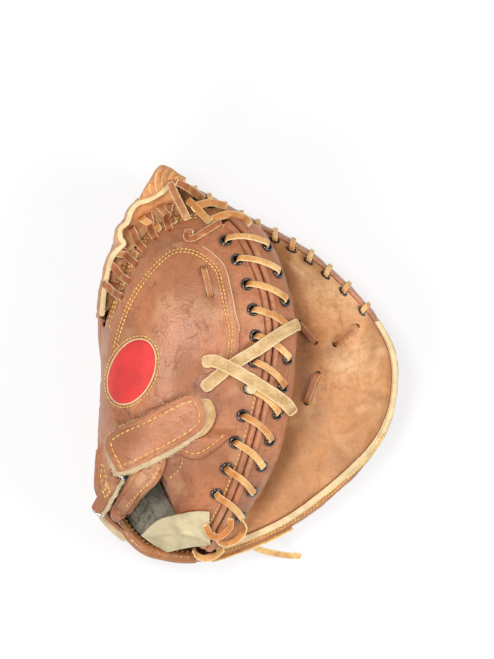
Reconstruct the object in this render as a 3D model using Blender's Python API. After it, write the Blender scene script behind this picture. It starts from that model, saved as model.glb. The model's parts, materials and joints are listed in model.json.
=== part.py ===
"""A baseball catcher's mitt, folded shut and lying on the back of its fingers.

The finger half is a leather bowl with a padded palm. The thumb half folds over it like a lid, and its two
leather panels meet at a laced seam. X runs to the right, Y from heel to toe, and Z up from the table.
Sizes are in millimetres, and become metres where a mesh is made.
"""

import math

import bmesh
import bpy
import numpy as np
from mathutils import Matrix, Vector

MM = 0.001

# Leather and lace stock
LEATHER = 2.6
LACE_WIDTH = 4.8
LACE_THICKNESS = 1.6
TIE_WIDTH = 9.0
TIE_THICKNESS = 2.2

# Outlines seen from above, each a smooth loop through a few points
FINGER_CENTRE = (-5.0, -5.0)
FINGER_OUTLINE = [
    (-32, -157), (44, -126), (107, -66), (123, -8), (107, 38), (56, 89), (0, 121),
    (-48, 146), (-72, 147), (-103, 104), (-117, 45), (-115, -8), (-117, -95), (-100, -131), (-70, -150),
]
THUMB_CENTRE = (-42.0, -8.0)
THUMB_OUTLINE = [
    (-22, -150), (14, -100), (31, -60), (41, 0), (40, 46), (20, 101), (-4, 120), (-34, 127),
    (-84, 104), (-111, 44), (-116.5, -20), (-116, -95), (-100, -122), (-70, -142), (-42, -153),
]

# The laced seam from heel to toe, and the thumb back's far edge from the heel round the wrist to the toe
SEAM = [(-31, -146), (-12, -110), (3, -71), (15, -27), (22, 17), (17, 60), (2, 98), (-12, 115)]
BACK_EDGE = [
    (-44, -146), (-46, -128), (-56, -104), (-66, -84), (-86, -73), (-112.5, -66), (-113.5, 0),
    (-108, 44), (-82, 101), (-60, 117), (-36, 122), (-20, 117),
]
SEAM_ROWS = 25
EDGE_FROM_SEAM = 5.8
WELT_RADIUS = 2.5
WELT_FROM_SEAM = 2.9

# Eyelets along the seam
EYELETS = 11
EYELET_FROM_SEAM = 13.0
FIRST_BACK_EYELET = 45.0
BACK_PITCH = 22.5
FIRST_PALM_EYELET = 35.5
PALM_PITCH = 21.2
EYELET_BORE = 3.1
EYELET_BARREL = 3.6
EYELET_FLANGE = 5.2
EYELET_HOLE = 4.3

# The fold of the pocket leather, from heel to toe
CREASE = [(-52, -128), (-72, -85), (-82, -30), (-84, 30), (-79, 78), (-66, 108)]

# Heights above the table
POCKET_FLOOR = 42.0
PALM_PAD = 11.0
THUMB_PAD = 9.0

# Hinge of the fold: a point at the heel and one on the far side
FOLD_HEEL = Vector((-60, -150, 46))
FOLD_TOE = Vector((-121, 60, 60))


# Curves and surfaces

def smooth(points, count, closed=False):
    """Points spread evenly by length along a smooth curve through the given ones."""
    points = np.array(points, float)
    last = len(points) if closed else len(points) - 1
    if closed:
        padded = np.vstack([points[-1:], points, points[:2]])
    else:
        padded = np.vstack([2 * points[0] - points[1], points, 2 * points[-1] - points[-2]])
    t = np.linspace(0, 1, 24, endpoint=False)[:, None]
    pieces = []
    for i in range(last):
        a, b, c, d = padded[i : i + 4]
        pieces.append(
            0.5 * (2 * b + (c - a) * t + (2 * a - 5 * b + 4 * c - d) * t**2 + (3 * b - a - 3 * c + d) * t**3)
        )
    dense = np.vstack(pieces + [points[:1] if closed else points[-1:]])
    length = np.concatenate([[0], np.cumsum(np.linalg.norm(np.diff(dense, axis=0), axis=1))])
    wanted = np.linspace(0, length[-1], count, endpoint=not closed)
    return np.column_stack([np.interp(wanted, length, column) for column in dense.T])


def unit(vectors):
    vectors = np.asarray(vectors, float)
    return vectors / np.linalg.norm(vectors, axis=-1, keepdims=True)


class Outline:
    """A star-shaped outline, read as a radius by angle about its centre."""

    def __init__(self, points, centre):
        self.centre = np.array(centre, float)
        around = smooth(points, 240, closed=True) - self.centre
        angles = np.arctan2(around[:, 1], around[:, 0])
        order = np.argsort(angles)
        self.angles = angles[order]
        self.radii = np.linalg.norm(around, axis=1)[order]

    def radius(self, angle):
        return np.interp(angle, self.angles, self.radii, period=2 * math.pi)

    def share(self, x, y):
        """How far out a point lies: 0 at the centre and 1 on the outline."""
        x, y = x - self.centre[0], y - self.centre[1]
        return np.hypot(x, y) / self.radius(np.arctan2(y, x))

    def at(self, angle, share):
        reach = self.radius(angle) * share
        return np.stack([self.centre[0] + reach * np.cos(angle), self.centre[1] + reach * np.sin(angle)], -1)


FINGERS = Outline(FINGER_OUTLINE, FINGER_CENTRE)
THUMB = Outline(THUMB_OUTLINE, THUMB_CENTRE)


def finger_rim(angle):
    """Height of the finger half's rim, which dips at the heel."""
    return 53 + 2 * np.cos(angle) + 6 * np.sin(angle) + 7 * np.cos(2 * angle)


def palm_height(x, y):
    share = FINGERS.share(x, y)
    rim = finger_rim(np.arctan2(y - FINGER_CENTRE[1], x - FINGER_CENTRE[0]))
    return POCKET_FLOOR + (rim - POCKET_FLOOR) * share**2.5


def past(y, start):
    return np.maximum(y - start, 0) / 90


def thumb_rim(x, y):
    """Height of the thumb half's edge: it rises from the fold to the open side, and drops at heel and toe."""
    return 60 + 0.275 * (x + 117) - 24 * past(-y, 60) ** 2 - 6 * past(y, 40) ** 2


def thumb_top(x, y):
    share = np.minimum(THUMB.share(x, y), 0.999)
    crown = 138 - 45 * past(-y, 60) ** 2 - 12 * past(y, 40) ** 2
    rim = thumb_rim(x, y)
    return rim + (crown - rim) * np.sqrt(1 - share**3)


def thumb_under(x, y):
    share = np.minimum(THUMB.share(x, y), 0.999)
    return thumb_rim(x, y) - 12 * np.sqrt(1 - share**4)


def lifted(surface, xy, lift):
    """Points over a height surface, moved out along its normal."""
    xy = np.asarray(xy, float)
    x, y = xy[..., 0], xy[..., 1]
    step = 0.6
    slope_x = (surface(x + step, y) - surface(x - step, y)) / (2 * step)
    slope_y = (surface(x, y + step) - surface(x, y - step)) / (2 * step)
    normal = unit(np.stack([-slope_x, -slope_y, np.ones_like(slope_x)], -1))
    return np.stack([x, y, surface(x, y)], -1) + normal * np.asarray(lift)[..., None]


def placed(surface, xy, lift):
    """Points over a height surface that show at the given places when seen from above."""
    base = np.asarray(xy, float)
    for _ in range(4):
        base = base - 0.6 * (lifted(surface, base, lift)[..., :2] - xy)
    return lifted(surface, base, lift)


def on_thumb(xy, lift):
    return lifted(thumb_top, xy, lift)


def on_palm(xy, lift):
    return lifted(palm_height, xy, lift)


def grid_normals(points):
    along = np.gradient(points, axis=0)
    across = np.gradient(points, axis=1)
    return unit(np.cross(along, across))


# Bodies, materials and meshes

def clear_scene():
    for obj in list(bpy.data.objects):
        bpy.data.objects.remove(obj, do_unlink=True)


def add_body(name, at):
    empty = bpy.data.objects.new(name, None)
    empty.location = Vector(at) * MM
    bpy.context.scene.collection.objects.link(empty)
    return empty


def add_material(name, colour, roughness, metallic=0.0):
    material = bpy.data.materials.new(name)
    material.use_nodes = True
    shader = material.node_tree.nodes["Principled BSDF"]
    shader.inputs["Base Color"].default_value = (*colour, 1)
    shader.inputs["Roughness"].default_value = roughness
    shader.inputs["Metallic"].default_value = metallic
    return material


def add_object(name, data, body, material):
    obj = bpy.data.objects.new(name, data)
    bpy.context.scene.collection.objects.link(obj)
    if material:
        data.materials.clear()
        data.materials.append(material)
    if body:
        obj.parent = body
        obj.matrix_parent_inverse = Matrix.Translation(-body.location)
    return obj


def mesh_from(name, points, faces):
    mesh = bpy.data.meshes.new(name)
    shape = bmesh.new()
    corners = [shape.verts.new(Vector(point) * MM) for point in points]
    for face in faces:
        shape.faces.new([corners[i] for i in face])
    bmesh.ops.recalc_face_normals(shape, faces=shape.faces)
    shape.to_mesh(mesh)
    shape.free()
    mesh.shade_smooth()
    mesh.set_sharp_from_angle(angle=math.radians(40))
    return mesh


def grid_faces(rows, columns, first=0):
    faces = []
    for row in range(rows - 1):
        for column in range(columns - 1):
            corner = first + row * columns + column
            faces.append((corner, corner + 1, corner + columns + 1, corner + columns))
    return faces


def grid_solid(name, front, back, body, material):
    """A closed sheet between two grids of points of the same size."""
    rows, columns = front.shape[:2]
    count = rows * columns
    faces = grid_faces(rows, columns) + grid_faces(rows, columns, count)
    border = (
        [c for c in range(columns)]
        + [r * columns + columns - 1 for r in range(1, rows)]
        + [(rows - 1) * columns + c for c in range(columns - 2, -1, -1)]
        + [r * columns for r in range(rows - 2, 0, -1)]
    )
    for here, there in zip(border, border[1:] + border[:1]):
        faces.append((here, there, there + count, here + count))
    points = np.vstack([front.reshape(-1, 3), back.reshape(-1, 3)])
    return add_object(name, mesh_from(name, points, faces), body, material)


def sheet(name, grid, thickness, body, material, side=1):
    """A sheet whose shown face is the grid, and whose thickness goes to the other side."""
    return grid_solid(name, grid, grid - side * grid_normals(grid) * thickness, body, material)


def polar_solid(name, front, back, body, material):
    """A closed form between two sets of rings, whose first ring is a single point."""
    rings, around = front.shape[:2]
    points = []
    faces = []
    for rows in (front, back):
        first = len(points)
        points.append(rows[0, 0])
        points.extend(rows[1:].reshape(-1, 3))
        for i in range(around):
            after = (i + 1) % around
            faces.append((first, first + 1 + i, first + 1 + after))
            for ring in range(rings - 2):
                inner = first + 1 + ring * around
                outer = inner + around
                faces.append((inner + i, outer + i, outer + after, inner + after))
    front_edge = 1 + (rings - 2) * around
    back_edge = front_edge + 1 + (rings - 1) * around
    for i in range(around):
        after = (i + 1) % around
        faces.append((front_edge + i, back_edge + i, back_edge + after, front_edge + after))
    return add_object(name, mesh_from(name, points, faces), body, material)


def panel(name, outline, around, centre, lift, thickness, body, material, roll=0.0, surface=thumb_top):
    """A leather panel that lies on a surface. Roll is how far its edge is turned down."""
    loop = smooth(outline, around, closed=True)
    shares = np.array([0, 0.4, 0.7, 0.9, 1.0])
    xy = np.array(centre) + (loop - np.array(centre))[None] * shares[:, None, None]
    drop = (roll * np.array([0, 0, 0.05, 0.35, 1.0]))[:, None]
    top = placed(surface, xy, lift + thickness - drop * np.ones(around))
    bottom = placed(surface, xy, lift * np.ones((len(shares), around)))
    return polar_solid(name, top, bottom, body, material)


def strip(name, path, across, width, thickness, body, material, round_ends=False):
    """A flat lace along a path, with its width in the across direction. Round ends narrow at the tips."""
    path = np.asarray(path, float)
    along = unit(np.gradient(path, axis=0))
    across = np.broadcast_to(np.asarray(across, float), path.shape)
    across = unit(across - along * np.sum(across * along, axis=1, keepdims=True))
    up = np.cross(along, across)
    half = np.full(len(path), width / 2)
    if round_ends:
        half[[0, -1]] *= 0.45
    half = half[:, None]
    corners = np.stack(
        [
            path + across * half + up * thickness / 2,
            path - across * half + up * thickness / 2,
            path - across * half - up * thickness / 2,
            path + across * half - up * thickness / 2,
        ],
        axis=1,
    )
    last = 4 * (len(path) - 1)
    faces = [(0, 1, 2, 3), (last, last + 1, last + 2, last + 3)]
    for ring in range(len(path) - 1):
        for side in range(4):
            here, after = 4 * ring + side, 4 * ring + (side + 1) % 4
            faces.append((here, after, after + 4, here + 4))
    return add_object(name, mesh_from(name, corners.reshape(-1, 3), faces), body, material)


def tube(name, path, radius, body, material, closed=False):
    curve = bpy.data.curves.new(name, "CURVE")
    curve.dimensions = "3D"
    curve.bevel_depth = radius * MM
    curve.bevel_resolution = 1
    curve.use_fill_caps = True
    spline = curve.splines.new("POLY")
    spline.points.add(len(path) - 1)
    for point, place in zip(spline.points, path):
        point.co = (*(Vector(place) * MM), 1)
    spline.use_cyclic_u = closed
    return add_object(name, curve, body, material)


def cut(target, cutter):
    modifier = target.modifiers.new("holes", "BOOLEAN")
    modifier.operation = "DIFFERENCE"
    modifier.solver = "EXACT"
    modifier.object = cutter


def hole_cutter(name, places, axes, radius, depth, body, sides=8):
    """Pins through every hole of a panel, as one cutter."""
    shape = bmesh.new()
    for place, axis in zip(places, axes):
        turn = Vector(axis).to_track_quat("Z", "Y").to_matrix().to_4x4()
        bmesh.ops.create_cone(
            shape, cap_ends=True, segments=sides, radius1=radius * MM, radius2=radius * MM, depth=depth * MM,
            matrix=Matrix.Translation(Vector(place) * MM) @ turn,
        )
    mesh = bpy.data.meshes.new(name)
    shape.to_mesh(mesh)
    shape.free()
    cutter = add_object(name, mesh, body, None)
    cutter.hide_render = True
    cutter.display_type = "WIRE"
    return cutter


# The finger half

BACK_PROFILE = [(0, 0), (0.35, 0), (0.6, 0.03), (0.8, 0.13), (0.93, 0.35), (1, 0.62), (1.01, 0.8), (0.985, 1)]
AROUND = 40
RIM_SHARE = 0.985


def rim_point(angle, out, up):
    """A point by its angle, its distance out from the rim's outer edge and its height over the rim."""
    reach = FINGERS.radius(angle) * RIM_SHARE + out
    x = FINGER_CENTRE[0] + reach * np.cos(angle)
    y = FINGER_CENTRE[1] + reach * np.sin(angle)
    return np.stack([x, y, finger_rim(angle) + up], -1)


def wall_point(angle, out, height):
    """A point off the outside of the finger shell, at a share of the rim's height."""
    shares, heights = zip(*BACK_PROFILE)
    reach = FINGERS.radius(angle) * np.interp(height, heights[1:], shares[1:]) + out
    x = FINGER_CENTRE[0] + reach * np.cos(angle)
    y = FINGER_CENTRE[1] + reach * np.sin(angle)
    return np.stack([x, y, finger_rim(angle) * height], -1)


def add_finger_back(body, leather):
    angles = np.linspace(0, 2 * math.pi, AROUND, endpoint=False)
    rim = finger_rim(angles)
    outer = np.array(
        [np.column_stack([FINGERS.at(angles, share), height * rim]) for share, height in BACK_PROFILE]
    )
    outward = np.gradient(outer, axis=0)
    around = np.roll(outer, -1, axis=1) - np.roll(outer, 1, axis=1)
    around[0] = around[1]
    inward = unit(np.cross(outward, around))
    inward[:2] = (0, 0, 1)
    inward[-1, :, 2] = 0
    return polar_solid("finger_back", outer, outer + unit(inward) * 3.0, body, leather)


def palm_grid(rows, crease_margin, rim_margin, columns):
    """Places on the palm in rows from the crease to the rim, from heel to toe."""
    start = smooth(CREASE, rows)
    angles = np.radians(np.linspace(-100, 109, rows))
    end = rim_point(angles, -rim_margin, 0)[:, :2]
    way = end - start
    start = start + unit(way) * crease_margin
    share = np.asarray(columns)[None, :, None]
    return start[:, None] + (end - start)[:, None] * share


def add_palm_layers(body, leather, felt):
    palm = palm_grid(23, 0.6, 5.0, [0, 0.15, 0.35, 0.55, 0.75, 0.88, 0.96, 1])
    leather_palm = grid_solid("finger_palm", on_palm(palm, 0.0), on_palm(palm, -LEATHER), body, leather)
    pad = palm_grid(21, 11, 19, [0, 0.25, 0.5, 0.75, 1])
    top = LEATHER + 0.8
    grid_solid("palm_pad", on_palm(pad, -top), on_palm(pad, -top - PALM_PAD), body, felt)
    return leather_palm


# The fleece over the fold, from its top down: distance left of the crease, and height over its middle
LINING_BEND = [(-1.0, 13.5), (7.0, 12.5), (13.5, 7.0), (16.0, -1.0)]
LINING_ROWS = 10


def add_wrist_lining(body, fleece):
    crease, middle, left = crease_frame(40)
    rows = np.linspace(1, 15, LINING_ROWS).round().astype(int)
    crease, middle, left = crease[rows], middle[rows], left[rows]
    heel = rim_point(np.radians(np.linspace(-113, -152, LINING_ROWS)), -15.0, -4.0)
    columns = [np.column_stack([crease + left * out, middle + up]) for out, up in LINING_BEND]
    columns += [columns[-1] + (heel - columns[-1]) * share for share in (0.5, 1.0)]
    sheet("wrist_lining", np.stack(columns, 1), 2.2, body, fleece)


def add_heel_roll(body, leather):
    angles = np.radians(np.linspace(-149, -104, 14))
    tube("heel_roll", rim_point(angles, -2.0, 5.6), 5.0, body, leather)


def add_rim_binding(body, suede):
    angles = np.radians(np.linspace(-97, 20, 30))
    offsets = [0.8, -3.2, -6.5, -9.5]
    lower = np.stack([rim_point(angles, out, 0.6) for out in offsets], 1)
    inside = on_palm(lower[:, 2:, :2], 0.7)
    lower[:, 2:, 2] = inside[..., 2]
    grid_solid("rim_binding", lower, lower + np.array([0, 0, 2.2]), body, suede)


# One turn of the whip lace over the rim: distance out, height over the rim, and share of the pitch
WHIP_TURN = [
    (6.6, -9.5, 0.0), (4.8, -3.0, 0.04), (2.4, 2.4, 0.1), (-4.0, 2.6, 0.18), (-9.2, 0.8, 0.25),
    (-8.8, -7.6, 0.28), (-6.8, -10.8, 0.5), (-2.5, -9.8, 0.97),
]
WHIP_TURNS = 11
WHIP_HOLE = 4.0


def whip_angle(turn):
    """The wraps stand closer towards the web."""
    return math.radians(25.7 + 10.6 * turn - 0.33 * turn**2)


def add_toe_lace(body, rawhide, back, palm):
    turns = np.arange(WHIP_TURNS)
    route = [rim_point(whip_angle(turn + ahead), out, up) for turn in turns for out, up, ahead in WHIP_TURN]
    path = smooth(route[:-3], WHIP_TURNS * 9)
    centred = path[:, :2] - np.array(FINGER_CENTRE)
    across = np.column_stack([-centred[:, 1], centred[:, 0], np.zeros(len(path))])
    strip("toe_lace", path, across, LACE_WIDTH, LACE_THICKNESS, body, rawhide)
    palm_holes = [rim_point(whip_angle(turn + 0.27), -9.2, -3) for turn in turns]
    cut(palm, hole_cutter("toe_palm_holes", palm_holes, [(0, 0, 1)] * WHIP_TURNS, WHIP_HOLE, 14, body))
    back_angles = [whip_angle(turn - 0.02) for turn in turns]
    back_holes = [rim_point(angle, 2.0, -9.6) for angle in back_angles]
    outward = [(math.cos(angle), math.sin(angle), 0) for angle in back_angles]
    cut(back, hole_cutter("toe_back_holes", back_holes, outward, WHIP_HOLE, 12, body))


PALM_TIES = {
    "palm_tie_a": ((73, 17), (90, 31)),
    "palm_tie_b": ((50, -30), (59, -7)),
    "palm_tie_c": ((44, 34), (57, 19)),
}
TIE_LIFTS = [-1.9, 0.6, 2.0, 2.2, 2.0, 0.6, -1.9]
TIE_SHARES = [0, 0.02, 0.15, 0.5, 0.85, 0.98, 1]


def add_staple(name, surface, ends, base, width, body, material):
    """A short lace that comes up through one hole and goes down through another."""
    start, end = np.array(ends, float)
    xy = start + (end - start) * np.array(TIE_SHARES)[:, None]
    path = surface(xy, base + np.array(TIE_LIFTS))
    side = np.array([-(end - start)[1], (end - start)[0], 0])
    strip(name, path, side, width, 1.5, body, material)
    return [surface(point[None], np.array([base]))[0] for point in (start, end)]


def add_palm_ties(body, rawhide, palm):
    places = []
    for name, ends in PALM_TIES.items():
        places += add_staple(name, on_palm, ends, 0.0, 4.0, body, rawhide)
    cut(palm, hole_cutter("palm_tie_holes", places, [(0, 0, 1)] * len(places), 3.4, 12, body))


HEEL_TAIL = [(9, -148, 30), (18, -151, 22), (28, -153.5, 11), (37, -155, 4), (46, -155.5, 1.4)]


def add_heel_lace(body, rawhide):
    angles = np.radians(np.linspace(-96, -72, 9))
    strip("heel_lace", wall_point(angles, 1.9, 0.86), (0, 0, 1), LACE_WIDTH, LACE_THICKNESS, body, rawhide)
    tail = smooth(HEEL_TAIL, 14)
    strip("heel_lace_tail", tail, (0.5, 1, 0.3), LACE_WIDTH, LACE_THICKNESS, body, rawhide, round_ends=True)


# The web between thumb and fingers

WEB_TOP = [
    (-47, 146, 99.6), (-60, 141, 99), (-76, 131, 97), (-92, 115, 96), (-102, 92, 94), (-110, 66, 91),
    (-115, 40, 88),
]
WEB_ROWS = 15
CROWN_OUTLINE = [(-80, 131), (-78, 146), (-68, 158.5), (-58, 156), (-46, 147), (-56, 140), (-68, 136)]


def crown_height(x, y):
    return 100 + 0.12 * (x + 66) - 0.012 * (y - 140) ** 2


def add_web(body, leather):
    top = smooth(WEB_TOP, WEB_ROWS)
    bottom = rim_point(np.radians(np.linspace(107, 160, WEB_ROWS)), -2.0, 0.7)
    outward = unit((top + bottom)[:, :2] / 2 - np.array(FINGER_CENTRE))
    columns = []
    for share, bulge in ((0, 0), (0.3, 5), (0.65, 6), (1, 0)):
        row = bottom + (top - bottom) * share
        row[:, :2] += outward * bulge
        columns.append(row)
    grid = np.stack(columns, 1)
    inward = np.concatenate([-outward, np.zeros((WEB_ROWS, 1))], 1)[:, None]
    grid_solid("web_panel", grid, grid + inward * 3.0, body, leather)


def add_web_crown(body, leather):
    panel("web_crown", CROWN_OUTLINE, 18, (-66, 145), 0.0, 3.6, body, leather, 1.0, crown_height)


# Leather that bends at the fold

def crease_frame(rows):
    """Places along the crease from heel to toe, the height midway between the halves, and the way left."""
    line = smooth(CREASE, rows)
    middle = (palm_height(line[:, 0], line[:, 1]) + thumb_under(line[:, 0], line[:, 1])) / 2
    along = unit(np.gradient(line, axis=0))
    return line, middle, np.column_stack([-along[:, 1], along[:, 0]])


def add_palm_crease(body, leather):
    line, middle, left = crease_frame(16)
    radius = thumb_under(line[:, 0], line[:, 1]) - middle
    line = line + left * 0.9
    inner, outer = [], []
    for turn in np.radians(np.linspace(-90, 90, 6)):
        for grow, columns in ((0, inner), (LEATHER, outer)):
            reach = ((radius + grow) * math.cos(turn))[:, None]
            columns.append(np.column_stack([line + left * reach, middle + (radius + grow) * math.sin(turn)]))
    grid_solid("palm_crease", np.stack(inner, 1), np.stack(outer, 1), body, leather)


def add_back_gusset(body, leather):
    edge = smooth(BACK_EDGE, SEAM_ROWS)
    edge = edge[(edge[:, 0] < -104) & (edge[:, 1] > -62) & (edge[:, 1] < 32)]
    top = on_thumb(edge, np.full(len(edge), -LEATHER / 2)) - np.array([0, 0, 2.8])
    way = edge - np.array(FINGER_CENTRE)
    bottom = rim_point(np.arctan2(way[:, 1], way[:, 0]), -2.6, 0.8)
    columns = []
    for share, bulge in ((0, 0), (0.5, 2.5), (1, 0)):
        row = bottom + (top - bottom) * share
        row[:, 0] -= bulge
        columns.append(row)
    grid = np.stack(columns, 1)
    grid_solid("back_gusset", grid, grid + np.array([LEATHER, 0, 0]), body, leather)


def add_anchor_strap(body, leather):
    angles = np.radians(np.linspace(215, 238, 9))
    high = rim_point(angles, 4.4, 0)
    high[:, 2] = np.linspace(76, 52, 9)
    low = wall_point(angles, 1.2, 0.7)
    low[:, 2] = np.linspace(50, 30, 9)
    grid = np.stack([high, (high + low) / 2, low], 1)
    outward = unit(grid[..., :2] - np.array(FINGER_CENTRE))
    back = grid.copy()
    back[..., :2] += outward * LEATHER
    grid_solid("anchor_strap", grid, back, body, leather)


# The thumb half

def seam_place(distance, offset):
    """A place by its distance along the seam from the heel and its offset to the right."""
    line = smooth(SEAM, 400)
    along = unit(np.gradient(line, axis=0))
    length = np.concatenate([[0], np.cumsum(np.linalg.norm(np.diff(line, axis=0), axis=1))])
    point = np.array([np.interp(distance, length, column) for column in line.T])
    way = np.array([np.interp(distance, length, column) for column in along.T])
    return point + offset * np.array([way[1], -way[0]])


def seam_frame():
    line = smooth(SEAM, SEAM_ROWS)
    along = unit(np.gradient(line, axis=0))
    return line, np.column_stack([along[:, 1], -along[:, 0]])


def thumb_normal(xy):
    here = np.asarray(xy, float)[None]
    return (on_thumb(here, np.ones(1)) - on_thumb(here, np.zeros(1)))[0]


def add_thumb_back(body, leather):
    line, right = seam_frame()
    start = line - right * EDGE_FROM_SEAM
    end = smooth(BACK_EDGE, SEAM_ROWS)
    share = np.array([0, 0.08, 0.2, 0.35, 0.52, 0.68, 0.8, 0.89, 0.95, 1])[None, :, None]
    grid = start[:, None] + (end - start)[:, None] * share
    return grid_solid("thumb_back", on_thumb(grid, 0.0), on_thumb(grid, -LEATHER), body, leather)


THUMB_EDGE_ANGLES = np.radians(np.linspace(-80, 73, SEAM_ROWS))


def add_thumb_palm(body, leather):
    """From the seam over the open edge and back under to the crease."""
    line, right = seam_frame()
    start = line + right * EDGE_FROM_SEAM
    edge = THUMB.at(THUMB_EDGE_ANGLES, 1.0)
    crease = smooth(CREASE, SEAM_ROWS)
    crease = crease + unit(edge - crease) * 0.6
    columns = []
    for share in (0, 0.35, 0.68, 0.88, 0.97):
        xy = start + (edge - start) * share
        columns.append(np.column_stack([xy, thumb_top(xy[:, 0], xy[:, 1])]))
    columns.append(np.column_stack([edge, thumb_rim(edge[:, 0], edge[:, 1])]))
    for share in (0.03, 0.1, 0.25, 0.45, 0.65, 0.85, 1):
        xy = edge + (crease - edge) * share
        columns.append(np.column_stack([xy, thumb_under(xy[:, 0], xy[:, 1])]))
    return sheet("thumb_palm", np.stack(columns, 1), 2.2, body, leather, side=-1)


def add_thumb_pad(body, felt):
    rows = 19
    edge = THUMB.at(np.radians(np.linspace(-74, 66, rows)), 1.0)
    crease = smooth(CREASE, rows)
    way = unit(edge - crease)
    start, end = crease + way * 14, edge - way * 16
    share = np.linspace(0, 1, 6)[None, :, None]
    grid = start[:, None] + (end - start)[:, None] * share
    grid_solid(
        "thumb_pad", lifted(thumb_under, grid, 3.2), lifted(thumb_under, grid, 3.2 + THUMB_PAD), body, felt
    )


OVERLAY = [
    (-109, 12), (-99, 47), (-83, 74), (-66, 92), (-54, 97.5), (-41, 97), (-28, 91), (-16, 79),
    (-11, 62), (-7, 42), (-4, 26), (-9, -8), (-28, -30), (-62, -42), (-98, -56), (-109, -25),
]
BADGE_CENTRE = (-89.0, -4.4)
BADGE_AXES = (27.0, 17.0)
BADGE_TILT = math.radians(65)


def add_overlay(body, leather):
    return panel("back_overlay", OVERLAY, 32, (-55, 14), 1.3, 1.5, body, leather)


def add_badge(body, felt):
    turns = np.linspace(0, 2 * math.pi, 16, endpoint=False)
    along, across = BADGE_AXES[0] * np.cos(turns), BADGE_AXES[1] * np.sin(turns)
    x = BADGE_CENTRE[0] + along * math.cos(BADGE_TILT) - across * math.sin(BADGE_TILT)
    y = BADGE_CENTRE[1] + along * math.sin(BADGE_TILT) + across * math.cos(BADGE_TILT)
    panel("badge", np.column_stack([x, y]), 28, BADGE_CENTRE, 3.2, 1.5, body, felt, roll=0.5)


def add_welts(body, leather):
    line, right = seam_frame()
    for name, side in (("welt_back", -1), ("welt_palm", 1)):
        path = on_thumb(line + side * right * WELT_FROM_SEAM, np.zeros(SEAM_ROWS))
        tube(name, path, WELT_RADIUS, body, leather)


# Eyelets and the lace through them

EYELET_PROFILE = [
    (EYELET_BORE, -4.2), (EYELET_BARREL, -4.2), (EYELET_BARREL, 0.6), (EYELET_FLANGE, 0.6),
    (EYELET_FLANGE - 0.8, 1.8), (EYELET_BORE, 1.4),
]
EYELET_SIDES = 8


def eyelet_places():
    back = [seam_place(FIRST_BACK_EYELET + BACK_PITCH * k, -EYELET_FROM_SEAM) for k in range(EYELETS)]
    palm = [seam_place(FIRST_PALM_EYELET + PALM_PITCH * k, EYELET_FROM_SEAM) for k in range(EYELETS)]
    return np.array(back), np.array(palm)


def eyelet_mesh():
    shape = bmesh.new()
    corners = [shape.verts.new((radius * MM, 0, height * MM)) for radius, height in EYELET_PROFILE]
    edges = [shape.edges.new((a, b)) for a, b in zip(corners, corners[1:] + corners[:1])]
    bmesh.ops.spin(
        shape, geom=corners + edges, cent=(0, 0, 0), axis=(0, 0, 1), angle=2 * math.pi, steps=EYELET_SIDES,
        use_merge=True,
    )
    bmesh.ops.remove_doubles(shape, verts=shape.verts, dist=1e-6)
    bmesh.ops.recalc_face_normals(shape, faces=shape.faces)
    mesh = bpy.data.meshes.new("eyelet")
    shape.to_mesh(mesh)
    shape.free()
    mesh.shade_smooth()
    mesh.set_sharp_from_angle(angle=math.radians(40))
    return mesh


def add_eyelets(body, enamel, back, palm):
    mesh = eyelet_mesh()
    mesh.materials.append(enamel)
    for side, places, leather in zip(("back", "palm"), eyelet_places(), (back, palm)):
        normals = [thumb_normal(place) for place in places]
        spots = [on_thumb(place[None], np.zeros(1))[0] for place in places]
        for k, (spot, normal) in enumerate(zip(spots, normals), 1):
            eyelet = add_object(f"eyelet_{side}_{k:02d}", mesh, body, None)
            turn = Vector(normal).to_track_quat("Z", "Y").to_matrix().to_4x4()
            eyelet.matrix_basis = Matrix.Translation(Vector(spot) * MM) @ turn
        cut(leather, hole_cutter(f"{side}_eyelet_holes", spots, normals, EYELET_HOLE, 16, body))


# Lace over a crossing and under to the next pair: distance in from an eyelet, and lift
OVER_LIFTS = [(0.0, -0.6), (0.5, 2.4), (2.4, 4.1)]
UNDER_LIFTS = [(0.0, -3.6), (0.6, -6.2), (2.6, -7.4)]
OVER_MIDDLE = 4.6
UNDER_MIDDLE = -7.8


def lace_stretch(start, end, ends, middle, shares):
    """Places and lifts from one eyelet to the next, lowered or raised at both ends."""
    length = np.linalg.norm(end - start)
    way = (end - start) / length
    near, lowered = zip(*ends)
    far = [length - distance for distance in near[::-1]]
    distances = [*near, *(length * share for share in shares), *far]
    lifts = [*lowered, *[middle] * len(shares), *lowered[::-1]]
    xy = start + way * np.array(distances)[:, None]
    side = np.cross(thumb_normal((start + end) / 2), [*way, 0])
    return on_thumb(xy, np.array(lifts)), side


def add_thumb_lace(body, rawhide):
    back, palm = eyelet_places()
    path, across = [], []
    for k in range(EYELETS):
        over, side = lace_stretch(back[k], palm[k], OVER_LIFTS, OVER_MIDDLE, (0.3, 0.5, 0.7))
        path.append(over)
        across += [side] * len(over)
        if k + 1 < EYELETS:
            under, turned = lace_stretch(palm[k], back[k + 1], UNDER_LIFTS, UNDER_MIDDLE, (0.5,))
            path.append(under)
            turned = turned * np.sign(turned @ side)
            blended = (unit(turned) + unit(side)) / 2
            across += [blended] + [turned] * (len(under) - 2) + [blended]
    strip("thumb_lace", np.vstack(path), np.array(across), LACE_WIDTH, LACE_THICKNESS, body, rawhide)


# Suede ties, short laces and the tag on the thumb back

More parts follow.
